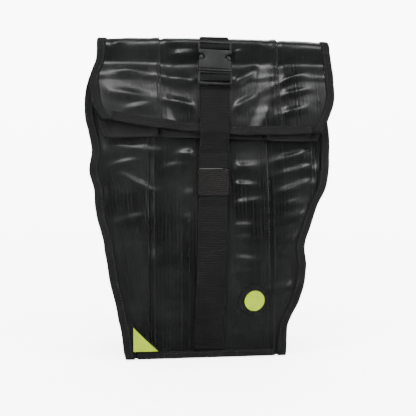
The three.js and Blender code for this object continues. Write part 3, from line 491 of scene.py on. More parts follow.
def back_relief(x, z):
    left, right = back_edges(z)
    crown = BACK_CROWN * at(SIDE, "height", share_of(z), "crown") * crown_share(x, left, right)
    close = closeness(x, left, right) * smoothstep(share_of(z), 0.8, 1)
    quiet = calm(x, z, left, right) * smoothstep(FOLD_CENTRE_Z - z, *CALM_BY_FOLD)
    return crown + close + BACK_CREASING * crumple(x, z, SEEDS["back"]) * quiet


# Places for what is sewn on the front or the back
def off_body(face, x, z, out):
    y, _, ny, nz = body_profile(face, z)
    return np.stack(np.broadcast_arrays(x, y + out * ny, z + out * nz), axis=-1)


def front_at(x, z, lift):
    seams = [share * WIDTH for share in FRONT_SEAMS]
    return off_body("front", x, z, front_relief(x, z) + lap_lift(x, seams) + lift)


def back_at(x, z, lift):
    return off_body("back", x, z, back_relief(x, z) + lift)


# Rows of a panel, from the floor over the fold to the mouth
SEAM_FOOT = TAPE + GAP + FACET_GAP
SEAM_DEPTH = RUBBER / 2 + GAP + GUSSET / 2
FOLD_START = 198
FOLD_ROWS = 20
FLAP_ROWS = 56
FLAP_START = FOLD_START + FOLD_ROWS
ROWS = FLAP_START + FLAP_ROWS
BODY_Z = np.linspace(SEAM_FOOT, FOLD_CENTRE_Z, FOLD_START)
FOLD_ANGLES = np.pi * np.arange(1, FOLD_ROWS + 1) / FOLD_ROWS
DROPS = np.arange(1, FLAP_ROWS + 1) / FLAP_ROWS


# How the long edges waver, row by row
def edge_ripple(seed):
    fold = FOLD_CENTRE_Z + OUTER_RADIUS * FOLD_ANGLES
    row = np.concatenate([BODY_Z, fold, fold[-1] + MOUTH_DROP * DROPS])
    return RIPPLE * smoothstep(row, *CALM_EDGE) * noise(row / RIPPLE_LENGTH, np.zeros(ROWS), seed)


class Panel:
    """The front panel, which turns inside at the fold, or the back one, which turns outside."""

    def __init__(self, face):
        self.face = face
        self.inner = face == "front"
        self.layer = "inner" if self.inner else "outer"
        names = ("innerLeft", "innerRight") if self.inner else ("left", "right")
        body = front_edges(BODY_Z) if self.inner else back_edges(BODY_Z)
        self.edge = {}
        for side, own, name in zip(INWARDS, body, names):
            fold = np.full(FOLD_ROWS, WIDTH * FLAP[name][0])
            flap = WIDTH * at(FLAP, "drop", DROPS, name)
            self.edge[side] = np.concatenate([own, fold, flap]) + edge_ripple(SEEDS[side])
        self.left, self.right = self.edge["left"], self.edge["right"]
        shares = FRONT_SEAMS if self.inner else BACK_SEAMS
        taper = np.ones(ROWS)
        if not self.inner:
            taper[:FOLD_START] = lerp(BACK_SEAM_TAPER, 1, smoothstep(share_of(BODY_Z), 0, 0.8))
        self.seams = [share * WIDTH * taper for share in shares]

    # Places across the panel, given as rows of x, in side view
    def profile(self, x):
        body = body_profile(self.face, np.broadcast_to(BODY_Z[:, None], x[:FOLD_START].shape))
        radius = FOLD_RADIUS if self.inner else OUTER_RADIUS
        angle = np.broadcast_to(FOLD_ANGLES[:, None], x[FOLD_START:FLAP_START].shape)
        fold = fold_profile(radius, angle, self.inner)
        height = lerp(FOLD_CENTRE_Z, mouth_z(self.layer, x[FLAP_START:]), DROPS[:, None])
        flap = flap_profile(self.layer, height)
        return [np.vstack(parts) for parts in zip(body, fold, flap)]

    def relief(self, x, z):
        made = np.zeros_like(x)
        own = front_relief if self.inner else back_relief
        made[:FOLD_START] = own(x[:FOLD_START], z[:FOLD_START])
        if not self.inner:
            made[FOLD_START:] = self.flap_relief(x[FOLD_START:], z[FLAP_START:])
        return made

    # Relief from the start of the fold to the mouth, whose folds lie as if the flap hung flat
    def flap_relief(self, x, flap_z):
        left, right = self.left[FOLD_START:, None], self.right[FOLD_START:, None]
        curl = FOLD_CENTRE_Z + OUTER_RADIUS * (np.pi - FOLD_ANGLES)[:, None] * np.ones_like(x[:FOLD_ROWS])
        z = np.vstack([curl, flap_z])
        quiet = calm(x, z, left, right) * smoothstep(np.arange(len(x)), 0, 8)[:, None]
        close = closeness(x, left, right)
        made = close + (folds(FLAP_FOLDS, x, z) + FLAP_CREASING * crumple(x, z, SEEDS["flap"])) * quiet
        crest = smoothstep(np.sin(FOLD_ANGLES), 0.2, 1)[:, None]
        crown = FOLD_CROWN * crown_share(x, left, right)
        made[:FOLD_ROWS] += crest * (crown - close)[:FOLD_ROWS]
        return made

    # Points on the panel at rows of x, raised by lift
    def points(self, x, lift):
        y, z, ny, nz = self.profile(x)
        out = lift + self.relief(x, z)
        return np.stack([x, y + out * ny, z + out * nz], axis=-1)

    # Points on the fin of a side seam: inwards runs from the fin's tip
    def seam_points(self, side, inwards, lift):
        edge, sign = self.edge[side], INWARDS[side]
        inwards, lift = np.broadcast_arrays(np.asarray(inwards, float), np.asarray(lift, float))
        y, z, ny, nz = self.profile((edge + sign * TAPE_WIDTH)[:, None])
        x = edge[:, None] + sign * inwards[None, :]
        y, z = y + lift[None, :] * ny, z + lift[None, :] * nz
        return np.stack(np.broadcast_arrays(x, y, z), axis=-1)


FRONT, BACK = Panel("front"), Panel("back")

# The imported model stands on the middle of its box, which moves the bag's own frame
BASE_INSET = TAPE_WIDTH + RUBBER / 2 + 2 * GAP + TAPE
base_low, base_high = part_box("base_panel")
SHIFT = np.array([
    base_low.x / METRE - min(FRONT.left[0], BACK.left[0]) - BASE_INSET,
    (base_low.y + base_high.y) / 2 / METRE - (side_y("front", 0) + side_y("back", 0)) / 2,
    0,
])


# Making meshes
def new_object(name, vertices, faces, material, smooth=True):
    mesh = bpy.data.meshes.new(name)
    mesh.from_pydata((np.asarray(vertices) + SHIFT) * METRE, [], faces)
    mesh.validate()
    made = bpy.data.objects.new(name, mesh)
    bpy.context.scene.collection.objects.link(made)
    mesh.materials.append(material)
    mesh.shade_smooth() if smooth else mesh.shade_flat()
    return made


def set_uv(piece, u, v):
    mesh = piece.data
    layer = mesh.uv_layers.new(name="cloth")
    corners = np.zeros(len(mesh.loops), int)
    mesh.loops.foreach_get("vertex_index", corners)
    pairs = np.stack([np.ravel(u), np.ravel(v)], axis=-1)[corners] * METRE
    layer.data.foreach_set("uv", pairs.astype(np.float32).ravel())


def unit(vectors):
    return vectors / np.maximum(np.linalg.norm(vectors, axis=-1, keepdims=True), TINY)


def turn_about_x(angle):
    c, s = math.cos(angle), math.sin(angle)
    return np.array([[1, 0, 0], [0, c, -s], [0, s, c]])


def grid_normals(grid):
    return unit(np.cross(np.gradient(grid, axis=1), np.gradient(grid, axis=0)))


def lengths(grid, axis):
    steps = np.linalg.norm(np.diff(grid, axis=axis), axis=-1)
    total = np.cumsum(steps, axis=axis)
    first = np.zeros_like(np.take(total, [0], axis=axis))
    return np.concatenate([first, total], axis=axis)


RIM_LEAST = 0.04  # keeps a rim from closing to nothing
RIM_STEPS = np.array([0, 0.12, 0.35, 0.7, 1.1]) / 1.2  # shares of a cloth's thickness
CORNER_SHARE = 0.48  # of a leg, the most that a rounded corner takes


# Rounds the rim of a sheet: half thickness near an edge, from distances to it
def rim(distance, half):
    t = np.clip(distance / half, 0, 1)
    return half * np.sqrt(np.clip(1 - (1 - t) ** 2, RIM_LEAST, 1))


def grid_faces(rows, columns):
    index = np.arange(rows * columns).reshape(rows, columns)
    corners = index[:-1, :-1], index[:-1, 1:], index[1:, 1:], index[1:, :-1]
    return np.stack(corners, axis=-1).reshape(-1, 4)


# Faces of a closed sheet, whose points are those of its front and then as many of its back
def sheet_faces(rows, columns):
    front, behind = grid_faces(rows, columns), rows * columns
    index = np.arange(behind).reshape(rows, columns)
    loop = np.concatenate([index[0, :], index[1:, -1], index[-1, -2::-1], index[-2:0:-1, 0]])
    following = np.roll(loop, -1)
    edge = np.stack([following, loop, loop + behind, following + behind], axis=-1)
    return np.concatenate([front, front[:, ::-1] + behind, edge])


# Faces of a closed bar, whose points are rings from one end to the other
def bar_faces(rings, sides):
    faces = []
    for i in range(rings - 1):
        for k in range(sides):
            n = (k + 1) % sides
            faces.append((sides * i + k, sides * i + n, sides * (i + 1) + n, sides * (i + 1) + k))
    last = sides * (rings - 1)
    return faces + [tuple(range(sides - 1, -1, -1)), tuple(range(last, last + sides))]


def merged(parts):
    vertices, faces = [], []
    start = 0
    for points, own in parts:
        vertices.append(points)
        faces += [tuple(start + i for i in face) for face in own]
        start += len(points)
    return np.concatenate(vertices), faces


# A closed cloth of even thickness whose middle is a grid of points
def cloth(name, grid, thickness, material):
    grid = np.asarray(grid, float)
    out = grid_normals(grid)
    u, v = lengths(grid, 1), lengths(grid, 0)
    edge_u = np.minimum(u, u[:, -1:] - u)
    edge_v = np.minimum(v, v[-1:, :] - v)
    thick = rim(np.minimum(edge_u, edge_v), thickness / 2)[..., None]
    vertices = np.concatenate([(grid + out * thick).reshape(-1, 3), (grid - out * thick).reshape(-1, 3)])
    made = new_object(name, vertices, sheet_faces(*grid.shape[:2]), material)
    set_uv(made, np.tile(u.ravel(), 2), np.tile(v.ravel(), 2))
    return made


# Shares from 0 to 1 with extra steps near both ends, so that a rim can be rounded
def shares(width, step, thickness):
    near = RIM_STEPS * thickness / width
    count = max(2, round(width / step))
    middle = np.linspace(near[-1], 1 - near[-1], count + 1)[1:-1]
    return np.concatenate([near, middle, 1 - near[::-1]])


# A polyline with its corners rounded off, as points of any dimension
def rounded_path(points, radius, steps=5):
    points = [np.asarray(p, float) for p in points]
    made = [points[0]]
    for before, corner, after in zip(points, points[1:], points[2:]):
        back, on = before - corner, after - corner
        reach = min(radius, CORNER_SHARE * np.linalg.norm(back), CORNER_SHARE * np.linalg.norm(on))
        start, end = corner + unit(back) * reach, corner + unit(on) * reach
        for i in range(steps + 1):
            t = i / steps
            made.append((1 - t) ** 2 * start + 2 * t * (1 - t) * corner + t * t * end)
    made.append(points[-1])
    return np.array(made)


# A polyline divided evenly
def resampled(points, step):
    points = np.asarray(points, float)
    places = np.concatenate([[0], np.cumsum(np.linalg.norm(np.diff(points, axis=0), axis=1))])
    count = max(2, round(places[-1] / step))
    wanted = np.linspace(0, places[-1], count + 1)
    return np.stack([np.interp(wanted, places, points[:, i]) for i in range(points.shape[1])], axis=-1)


def join_rides(piece, slot, *nodes):
    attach(piece, "root")
    if nodes:
        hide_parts(*nodes)
    return piece


# Material nodes
class Finish:
    """A Principled material whose textures are laid out along the cloth."""

    def __init__(self, name, colour, roughness, **constants):
        self.material = bpy.data.materials.new(name)
        self.material.use_nodes = True
        self.tree = self.material.node_tree
        self.shader = self.tree.nodes["Principled BSDF"]
        self.use(Base_Color=colour, Roughness=roughness, **constants)

    # Links a socket to another one, or sets it
    def feed(self, socket, value):
        if isinstance(value, bpy.types.NodeSocket):
            self.tree.links.new(value, socket)
        else:
            socket.default_value = (*value, 1) if socket.type == "RGBA" else value

    def use(self, **sockets):
        for key, value in sockets.items():
            self.feed(self.shader.inputs[key.replace("_", " ")], value)
        return self.material

    def node(self, kind, **inputs):
        made = self.tree.nodes.new(kind)
        for key, value in inputs.items():
            self.feed(made.inputs[key.replace("_", " ")], value)
        return made

    def coordinates(self, kind, scale, turn=0):
        source = self.tree.nodes.new("ShaderNodeTexCoord").outputs[kind]
        mapping = self.node("ShaderNodeMapping", Vector=source, Scale=scale, Rotation=(0, 0, turn))
        return mapping.outputs["Vector"]

    def noise(self, kind, scale, detail=2.0, distortion=0.0):
        vector = self.coordinates(kind, scale)
        made = self.node("ShaderNodeTexNoise", Vector=vector, Scale=1.0, Detail=detail, Distortion=distortion)
        return made.outputs["Fac"]

    # Patches of wear, count of them to a metre
    def wear(self, count):
        return self.noise("Object", (count, count, count), 5.0)

    # Small cells, count of them to a metre
    def cells(self, count):
        vector = self.coordinates("Object", (count, count, count))
        return self.node("ShaderNodeTexVoronoi", Vector=vector, Scale=1.0).outputs["Distance"]

    # Ridges across the UVs, count of them to a metre. Blender's own wave has 20 radians to a unit
    def waves(self, count, turn=0):
        scale = count * math.pi / 10
        vector = self.coordinates("UV", (scale, scale, scale), turn)
        made = self.node("ShaderNodeTexWave", Vector=vector, Scale=1.0, Distortion=0.0, Detail=1.0)
        return made.outputs["Fac"]

    def between(self, value, low, high, to_low, to_high):
        made = self.node("ShaderNodeMapRange", Value=value, From_Min=low, From_Max=high,
                         To_Min=to_low, To_Max=to_high)
        return made.outputs["Result"]

    def mix(self, factor, first, second):
        made = self.tree.nodes.new("ShaderNodeMix")
        made.data_type = "RGBA"
        self.feed(made.inputs["Factor"], factor)
        colours = [socket for socket in made.inputs if socket.type == "RGBA"]
        for socket, value in zip(colours, (first, second)):
            self.feed(socket, value)
        return next(socket for socket in made.outputs if socket.type == "RGBA")

    def combine(self, operation, first, second):
        made = self.tree.nodes.new("ShaderNodeMath")
        made.operation = operation
        for socket, value in zip(made.inputs, (first, second)):
            self.feed(socket, value)
        return made.outputs[0]

    def bump(self, height, distance, strength, normal=None):
        made = self.node("ShaderNodeBump", Height=height, Distance=distance, Strength=strength)
        if normal is not None:
            self.feed(made.inputs["Normal"], normal)
        return made.outputs["Normal"]


def rubber_finish():
    finish = Finish("inner_tube_rubber", (0.004, 0.0042, 0.0045), 0.3, Specular_IOR_Level=0.32)
    bloom = finish.noise("Object", (16, 16, 9), 5.0, 0.4)
    lines = finish.noise("UV", (280, 3, 1))
    ribs = finish.noise("UV", (130, 1.2, 1))
    grain = finish.noise("UV", (900, 900, 1))
    scuffs = finish.noise("UV", (60, 420, 1), 6.0, 1.2)
    dusty = finish.between(bloom, 0.42, 0.75, 0.0, 1.0)
    scuffed = finish.between(scuffs, 0.62, 0.8, 0.0, 0.35)
    mould = finish.between(finish.waves(MOULD_LINES), 0.72, 1.0, 0.0, 1.0)
    mould = finish.combine("MULTIPLY", mould, finish.between(ribs, 0.35, 0.6, 0.15, 1.0))
    colour = finish.mix(dusty, (0.0009, 0.00095, 0.00095), (0.003, 0.0031, 0.0031))
    colour = finish.mix(scuffed, colour, (0.009, 0.0095, 0.0097))
    colour = finish.mix(mould, colour, (0.0038, 0.004, 0.0041))
    rough = finish.between(bloom, 0.3, 0.75, 0.25, 0.37)
    rough = finish.combine("ADD", rough, finish.between(lines, 0.35, 0.7, -0.02, 0.03))
    normal = finish.bump(ribs, 0.00012, 0.5)
    normal = finish.bump(mould, 0.00012, 0.6, normal)
    normal = finish.bump(lines, 0.0001, 0.5, normal)
    normal = finish.bump(grain, 0.00003, 0.3, normal)
    return finish.use(Base_Color=colour, Roughness=rough, Normal=normal)


# Ribs run across the cloth, ribs of them to a metre of its length
def woven_finish(name, dark, light, roughness, ribs, depth):
    finish = Finish(name, dark, roughness, Specular_IOR_Level=0.14)
    cross = finish.between(finish.waves(ribs * 1.7), 0, 1, 0.55, 1.0)
    weave = finish.combine("MULTIPLY", finish.waves(ribs, math.pi / 2), cross)
    wear = finish.wear(45)
    bright = finish.combine("MULTIPLY", weave, finish.between(wear, 0.3, 0.75, 0.4, 1.0))
    colour = finish.mix(bright, dark, light)
    rough = finish.between(wear, 0.3, 0.7, roughness - 0.06, roughness + 0.08)
    normal = finish.bump(wear, 0.0006, 0.25, finish.bump(weave, depth, 0.8))
    return finish.use(Base_Color=colour, Roughness=rough, Normal=normal)


def plastic_finish():
    dark, light = (0.003, 0.0031, 0.0032), (0.007, 0.0073, 0.0075)
    finish = Finish("buckle_plastic", light, 0.42, Specular_IOR_Level=0.2)
    grain = finish.noise("Object", (1900, 1900, 1900))
    wear = finish.wear(60)
    colour = finish.mix(finish.between(wear, 0.4, 0.75, 0.0, 1.0), dark, light)
    rough = finish.between(wear, 0.3, 0.7, 0.38, 0.54)
    return finish.use(Base_Color=colour, Roughness=rough, Normal=finish.bump(grain, 0.00012, 0.5))


def thread_finish():
    dark, light = (0.002, 0.002, 0.0022), (0.007, 0.007, 0.0074)
    finish = Finish("thread", dark, 0.55, Specular_IOR_Level=0.2)
    twist = finish.noise("Object", (1500, 1500, 700))
    return finish.use(Base_Color=finish.mix(twist, dark, light), Normal=finish.bump(twist, 0.0002, 0.6))


def reflective_finish():
    clean, worn = (0.1, 0.14, 0.0), (0.08, 0.115, 0.0)
    finish = Finish("reflective_film", clean, 0.38, Specular_IOR_Level=0.1)
    wear = finish.wear(90)
    colour = finish.mix(finish.between(wear, 0.35, 0.75, 0.0, 1.0), clean, worn)
    rough = finish.between(wear, 0.3, 0.7, 0.3, 0.5)
    normal = finish.bump(finish.cells(1400), 0.00015, 0.4)
    return finish.use(Base_Color=colour, Roughness=rough, Normal=normal)


def pad_finish():
    dark, light = (0.0015, 0.0015, 0.0016), (0.006, 0.006, 0.0065)
    finish = Finish("pad_mesh", light, 0.8, Specular_IOR_Level=0.2, Sheen_Weight=0.05)
    deep = finish.between(finish.cells(520), 0.1, 0.6, 0.0, 1.0)
    rough = finish.between(finish.wear(40), 0.3, 0.7, 0.7, 0.88)
    colour = finish.mix(deep, dark, light)
    return finish.use(Base_Color=colour, Roughness=rough, Normal=finish.bump(deep, 0.0006, 0.7))


RUBBER_FINISH = rubber_finish()
TAPE_FINISH = woven_finish("binding_tape", (0.0014, 0.0014, 0.0015), (0.0046, 0.0046, 0.0047),
                           0.72, 700, 0.0003)
GUSSET_FINISH = woven_finish("gusset_nylon", (0.002, 0.002, 0.0022), (0.0055, 0.0055, 0.006),
                             0.66, 900, 0.0002)
WEBBING_FINISH = woven_finish("webbing", (0.001, 0.001, 0.0011), (0.0034, 0.0034, 0.0035), 0.68, 480, 0.0004)
# A pale finish for the strip that paints a highlight along the keeper's top edge
KEEPER_HIGHLIGHT_FINISH = woven_finish("keeper_painted_highlight", (0.015, 0.015, 0.015), (0.04, 0.04, 0.04), 0.5, 600, 0.0001)
ELASTIC_FINISH = woven_finish("elastic", (0.0022, 0.002, 0.0018), (0.0046, 0.0044, 0.0041), 0.7, 380, 0.0006)
PLASTIC_FINISH = plastic_finish()
THREAD_FINISH = thread_finish()
REFLECTIVE_FINISH = reflective_finish()
PAD_FINISH = pad_finish()


# Stitches: short rounded bars along a line, each lying on the surface
STITCH_LENGTH = 2.7
STITCH_PITCH = 3.7
STITCH_WIDTH = 0.8
STITCH_LIFT = 0.1
STITCH_SIDES = 6
STITCH_SECTIONS = ((-0.5, 0.35), (-0.32, 1), (0.32, 1), (0.5, 0.35))  # place and size, as shares


def stitch_points():
    points = []
    for place, size in STITCH_SECTIONS:
        radius = size * STITCH_WIDTH / 2
        for k in range(STITCH_SIDES):
            angle = 2 * math.pi * k / STITCH_SIDES
            points.append((place * STITCH_LENGTH, radius * math.cos(angle), radius * math.sin(angle)))
    return np.array(points)


# Lines are pairs of points and the ways out of the cloth at them
def stitches(name, lines, slot):
    shape, faces = stitch_points(), bar_faces(len(STITCH_SECTIONS), STITCH_SIDES)
    parts = []
    for points, out in lines:
        both = resampled(np.concatenate([points, out], axis=1), STITCH_PITCH)
        points, out = both[:, :3], both[:, 3:]
        along = unit(np.gradient(points, axis=0))
        beside = unit(np.cross(along, out))
        for p, a, b, c in zip(points, along, beside, np.cross(beside, along)):
            parts.append((p + shape[:, :1] * a + shape[:, 1:2] * b + shape[:, 2:] * c, faces))
    return join_rides(new_object(name, *merged(parts), THREAD_FINISH), slot)


def outward(panel, x):
    _, _, ny, nz = panel.profile(x)
    return np.stack([np.zeros_like(ny), ny, nz], axis=-1)[:, 0]


# Strips of tube, each lapped over the next at its seam
def add_strips(panel):
    edges = [panel.left, *panel.seams, panel.right]
    lines = []
    for i, (left, right) in enumerate(zip(edges, edges[1:])):
        first, last = i == 0, i == len(edges) - 2
        lapping = not last and LAPPED[i]
        low = left + (0 if first else GAP / 2)
        high = right + (LAP if lapping else (0 if last else -GAP / 2))
        across = shares(float(np.mean(high - low)), STEP, RUBBER)
        x = lerp(low[:, None], high[:, None], across[None, :])
        lift = 0
        if lapping:
            lift = lift + LAP_RISE * smoothstep(x - right[:, None], *LAP_RAMP)
        if not first and LAPPED[i - 1]:
            lift = lift - LAP_SINK * (1 - smoothstep(x - left[:, None], *LAP_SUNK))
        name = f"{panel.face}_tube_strip_{i + 1}"
        made = cloth(name + "_rubber", panel.points(x, lift), RUBBER, RUBBER_FINISH)
        join_rides(made, "inner_tube", name)
        if lapping:
            for beside in LAP_STITCHES:
                x = (right + beside)[:, None]
                line = panel.points(x, LAP_RISE + RUBBER / 2 + STITCH_LIFT)[:, 0]
                lines.append((line, outward(panel, x)))
    stitches(f"{panel.face}_seam_stitches", lines, "inner_tube")


# Gussets. The tuck's legs turn at shares of the depth and of the tuck, from open to a hairpin
TUCK_TURNS = ((0.17, 0.02), (0.34, 0.06), (0.7, 0.94))
TUCK_START = 0.4
HAIRPIN = (-0.55, -0.15)  # shares of DEPTH between which the gusset closes
GUSSET_COUNTS = (5, 8, 8, 8, 8, 8, 8, 5)  # columns from turn to turn, the fins included
GUSSET_SMOOTHINGS = 6
GUSSET_WRINKLES = ((2.2, 5, 26), (0.8, 11, 11))  # rise, how many across, height


def gusset_grid(side):
    fin = lambda panel, inwards: panel.seam_points(side, [inwards], [-SEAM_DEPTH])[:, 0]
    a, b = fin(FRONT, TAPE_WIDTH), fin(BACK, TAPE_WIDTH)
    hairpin = smoothstep(-np.linalg.norm(a - b, axis=1), HAIRPIN[0] * DEPTH, HAIRPIN[1] * DEPTH)
    tuck = np.full(ROWS, float(TUCK))
    tuck[:FOLD_START] = TUCK * at(SIDE, "height", share_of(BODY_Z), "tuck")
    quarter, third, near = (lerp(*turn, hairpin) for turn in TUCK_TURNS)
    legs = ((0, 0), (quarter, TUCK_START), (third, near), (0.5, 1),
            (1 - third, near), (1 - quarter, TUCK_START), (1, 0))
    points = [fin(FRONT, 0)]
    for depth_share, tuck_share in legs:
        p = lerp(a, b, np.broadcast_to(depth_share, ROWS)[:, None])
        p[:, 0] += INWARDS[side] * tuck * tuck_share
        points.append(p)
    points.append(fin(BACK, 0))
    return np.stack(points, axis=1)


def add_gusset(side):
    coarse = gusset_grid(side)
    columns = [coarse[:, 0]]
    for i, count in enumerate(GUSSET_COUNTS):
        columns += [lerp(coarse[:, i], coarse[:, i + 1], k / count) for k in range(1, count + 1)]
    grid = np.stack(columns, axis=1)
    fin = GUSSET_COUNTS[0]
    for _ in range(GUSSET_SMOOTHINGS):
        before, after = grid[:, fin - 1:-fin - 1], grid[:, fin + 1:1 - fin]
        grid[:, fin:-fin] = (before + 2 * grid[:, fin:-fin] + after) / 4
    across = np.linspace(0, 1, grid.shape[1])[None, :]
    height = np.arange(ROWS)[:, None] * STEP
    room = np.linalg.norm(coarse[:, 1] - coarse[:, -2], axis=1)[:, None]
    middle = smoothstep(across, 0.16, 0.3) * (1 - smoothstep(across, 0.7, 0.84))
    free = smoothstep(room, 18, 70) * middle * smoothstep(height, 6, 30)
    wrinkle = sum(rise * noise(across * count, height / tall, SEEDS["gusset"] + i)
                  for i, (rise, count, tall) in enumerate(GUSSET_WRINKLES))
    grid = grid + grid_normals(grid) * (wrinkle * free)[..., None]
    join_rides(cloth(f"{side}_gusset_cloth", grid, GUSSET, GUSSET_FINISH), "nylon", f"{side}_gusset")


# Tapes
TAPE_BENDS = {"seam": 1.5, "mouth": 1.4, "base": 1.2}
TAPE_STITCHES = 3  # from a tape's edge to its row of stitches
BASE_STITCHES = 2.6
PUCKERS = {"seam": (0.175, 14, 5), "mouth": (0.3, 17, 6)}  # rise, length and width


def add_tape(name, grid, line, out):
    join_rides(cloth(name + "_binding", grid, TAPE, TAPE_FINISH), "nylon", name)
    stitches(name + "_stitches", [(line, out)], "nylon")


def puckered(grid, kind):
    rise, length, width = PUCKERS[kind]
    pucker = rise * noise(lengths(grid, 0) / length, lengths(grid, 1) / width, SEEDS[kind])
    return grid + grid_normals(grid) * pucker[..., None]


# A tape's path lies in the directions down and out of an edge
def folded_over(edge, down, out, corners, kind):
    path = resampled(rounded_path(corners, TAPE_BENDS[kind]), TAPE_STEP)
    return edge[:, None] + down[:, None] * path[None, :, :1] + out[:, None] * path[None, :, 1:]


# Tape folded round the fin of a seam
def add_seam_tape(panel, side):
    outside = RUBBER / 2 + GAP + TAPE / 2
    inside = -SEAM_DEPTH - GUSSET / 2 - GAP - TAPE / 2
    inner_leg = TAPE_WIDTH - GUSSET - 2 * GAP
    tip = -GAP - TAPE / 2
    corners = [(TAPE_WIDTH - GAP, outside), (tip, outside), (tip, inside), (inner_leg, inside)]
    path = resampled(rounded_path(corners, TAPE_BENDS["seam"]), TAPE_STEP)
    grid = panel.seam_points(side, path[:, 0], path[:, 1])
    grid[0, :, 2] = GAP + TAPE / 2
    if side == "left":
        grid = grid[:, ::-1]
    line = panel.seam_points(side, [TAPE_WIDTH - TAPE_STITCHES], [outside + TAPE / 2 + STITCH_LIFT])[:, 0]
    out = outward(panel, (panel.edge[side] + INWARDS[side] * TAPE_WIDTH)[:, None])
    add_tape(f"{panel.face}_{side}_tape", puckered(grid, "seam"), line[2:-2], out[2:-2])


def add_mouth_tape(name, panel, inset):
    low, high = panel.left[-1] + inset, panel.right[-1] - inset
    x = np.linspace(low, high, round((high - low) / STEP))
    points = panel.points(np.broadcast_to(x[None, :], (ROWS, len(x))), 0)
    edge = points[-1]
    down = unit((edge - points[-5]) * (0, 1, 1))
    out = np.stack([np.zeros(len(x)), down[:, 2], -down[:, 1]], axis=-1)
    half = RUBBER / 2 + FACET_GAP + TAPE / 2
    tip = GAP + TAPE / 2
    corners = [(-TAPE_WIDTH, half), (tip, half), (tip, -RUBBER / 2)]
    grid = puckered(folded_over(edge, down, out, corners, "mouth"), "mouth")
    line = edge - down * (TAPE_WIDTH - TAPE_STITCHES) + out * (half + TAPE / 2 + STITCH_LIFT)
    add_tape(name, grid, line, out)


# Tape folded over the lower edge of a wall
def add_edge_tape(name, edge, down, out, thickness, long_leg, short_leg):
    half = thickness / 2 + GAP + TAPE / 2
    tip = GAP + TAPE / 2
    corners = [(-long_leg, half), (tip, half), (tip, -half), (-short_leg, -half)]
    line = edge - down * (long_leg - BASE_STITCHES) + out * (half + TAPE / 2 + STITCH_LIFT)
    add_tape(name, folded_over(edge, down, out, corners, "base"), line, out)


# The base, and the tapes on the lower edges round it
BASE_CORNER = 3
BASE_ROWS = 50
WALL_STEPS = 90
GUSSET_STEPS = 60


def add_base():
    depth = np.linspace(0, 1, BASE_ROWS)[:, None]
    left = lerp(FRONT.left[0], BACK.left[0], depth) + BASE_INSET
    right = lerp(FRONT.right[0], BACK.right[0], depth) - BASE_INSET
    across = shares(float(np.mean(right - left)), 2 * STEP, BASE_SHEET)[None, :]
    x = lerp(left, right, across)
    near = side_y("front", 0) + BASE_INSET - TAPE_WIDTH
    far = side_y("back", 0) - BASE_INSET + TAPE_WIDTH
    grid = np.stack([x, lerp(near, far, depth) + 0 * x, np.full_like(x, BASE_SHEET / 2)], axis=-1)
    join_rides(cloth("base_panel_cloth", grid, BASE_SHEET, GUSSET_FINISH), "nylon", "base_panel")


def add_wall_foot(panel, way):
    corner = TAPE_WIDTH + BASE_CORNER
    x = np.linspace(panel.left[0] + corner, panel.right[0] - corner, WALL_STEPS)[::-way]
    place = (float(side_y(panel.face, 0)), SEAM_FOOT)
    edge = np.stack([x, *(np.full(WALL_STEPS, value) for value in place)], axis=-1)
    down = np.tile([0.0, 0.0, -1.0], (WALL_STEPS, 1))
    out = np.tile([0.0, float(way), 0.0], (WALL_STEPS, 1))
    add_edge_tape(f"base_tape_{panel.face}", edge, down, out, RUBBER, BASE_TAPE_WIDTH, TAPE_WIDTH / 2)


# The gusset's two roots at the floor and at the outline's next row up give the edge and its way down
def add_gusset_foot(side):
    next_row = int(round((OUTLINE["height"][1] * FOLD_CENTRE_Z - SEAM_FOOT) / (BODY_Z[1] - BODY_Z[0])))
    grid = gusset_grid(side)
    low, high = grid[0, [1, -2]], grid[next_row, [1, -2]]
    corner = BASE_CORNER * unit(low[1] - low[0])
    downs = unit((low - high) * (1, 0, 1))
    t = np.linspace(0, 1, GUSSET_STEPS)[:, None]
    edge = lerp(low[0] + corner, low[1] - corner, t)
    down = lerp(downs[0], downs[1], t)
    sign = INWARDS[side]
    out = np.stack([sign * down[:, 2], np.zeros(GUSSET_STEPS), -sign * down[:, 0]], axis=-1)
    if side == "right":
        edge, down, out = edge[::-1], down[::-1], out[::-1]
    add_edge_tape(f"base_tape_{side}", edge, down, out, GUSSET, TAPE_WIDTH / 2, TAPE_WIDTH / 2)


# Webbing
def add_band(name, node, path, width):
    path = resampled(path, BAND_STEP)
    across = (shares(width, STEP, WEBBING) - 0.5) * width
    grid = np.repeat(path[:, None, :], len(across), axis=1)
    grid[:, :, 0] += across[None, :]
    join_rides(cloth(name, grid, WEBBING, WEBBING_FINISH), "webbing", node)


STRAP_LIFT = RUBBER / 2 + FACET_GAP + WEBBING / 2
STRAP_BEND = 1.2
STEP_UP_BEND = 9  # where the strap leaves the front for the flap
KEEPER_LIFT = STRAP_LIFT + TAPE + 2 * GAP
KEEPER_TOP = KEEPER_FOOT + KEEPER_HEIGHT
KEEPER_HALF = WEBBING_WIDTH / 2 + GAP + TAPE / 2
KEEPER_FRONT = WEBBING / 2 + GAP + TAPE / 2
KEEPER_BEHIND = -WEBBING / 2 - GAP / 2 - TAPE / 2
KEEPER_RAMP = 12
KEEPER_CLEAR = 2
KEEPER_RIB = 0.12
KEEPER_RIB_PITCH = 2.4
KEEPER_FLARE = 0.9
KEEPER_FLARE_HEIGHT = 4


def ladder(outer_bar, slot, bar):
    first = outer_bar + slot / 2
    return {"first": first, "bar": first + slot / 2 + bar / 2, "second": first + slot + bar}


SOCKET_TOP = SOCKET_LENGTH + GAP
SOCKET_LADDER = ladder(SOCKET_RIM, SLOT, BAR)
PLUG_LADDER = ladder(PLUG_RIM, SLOT, PLUG_BAR)


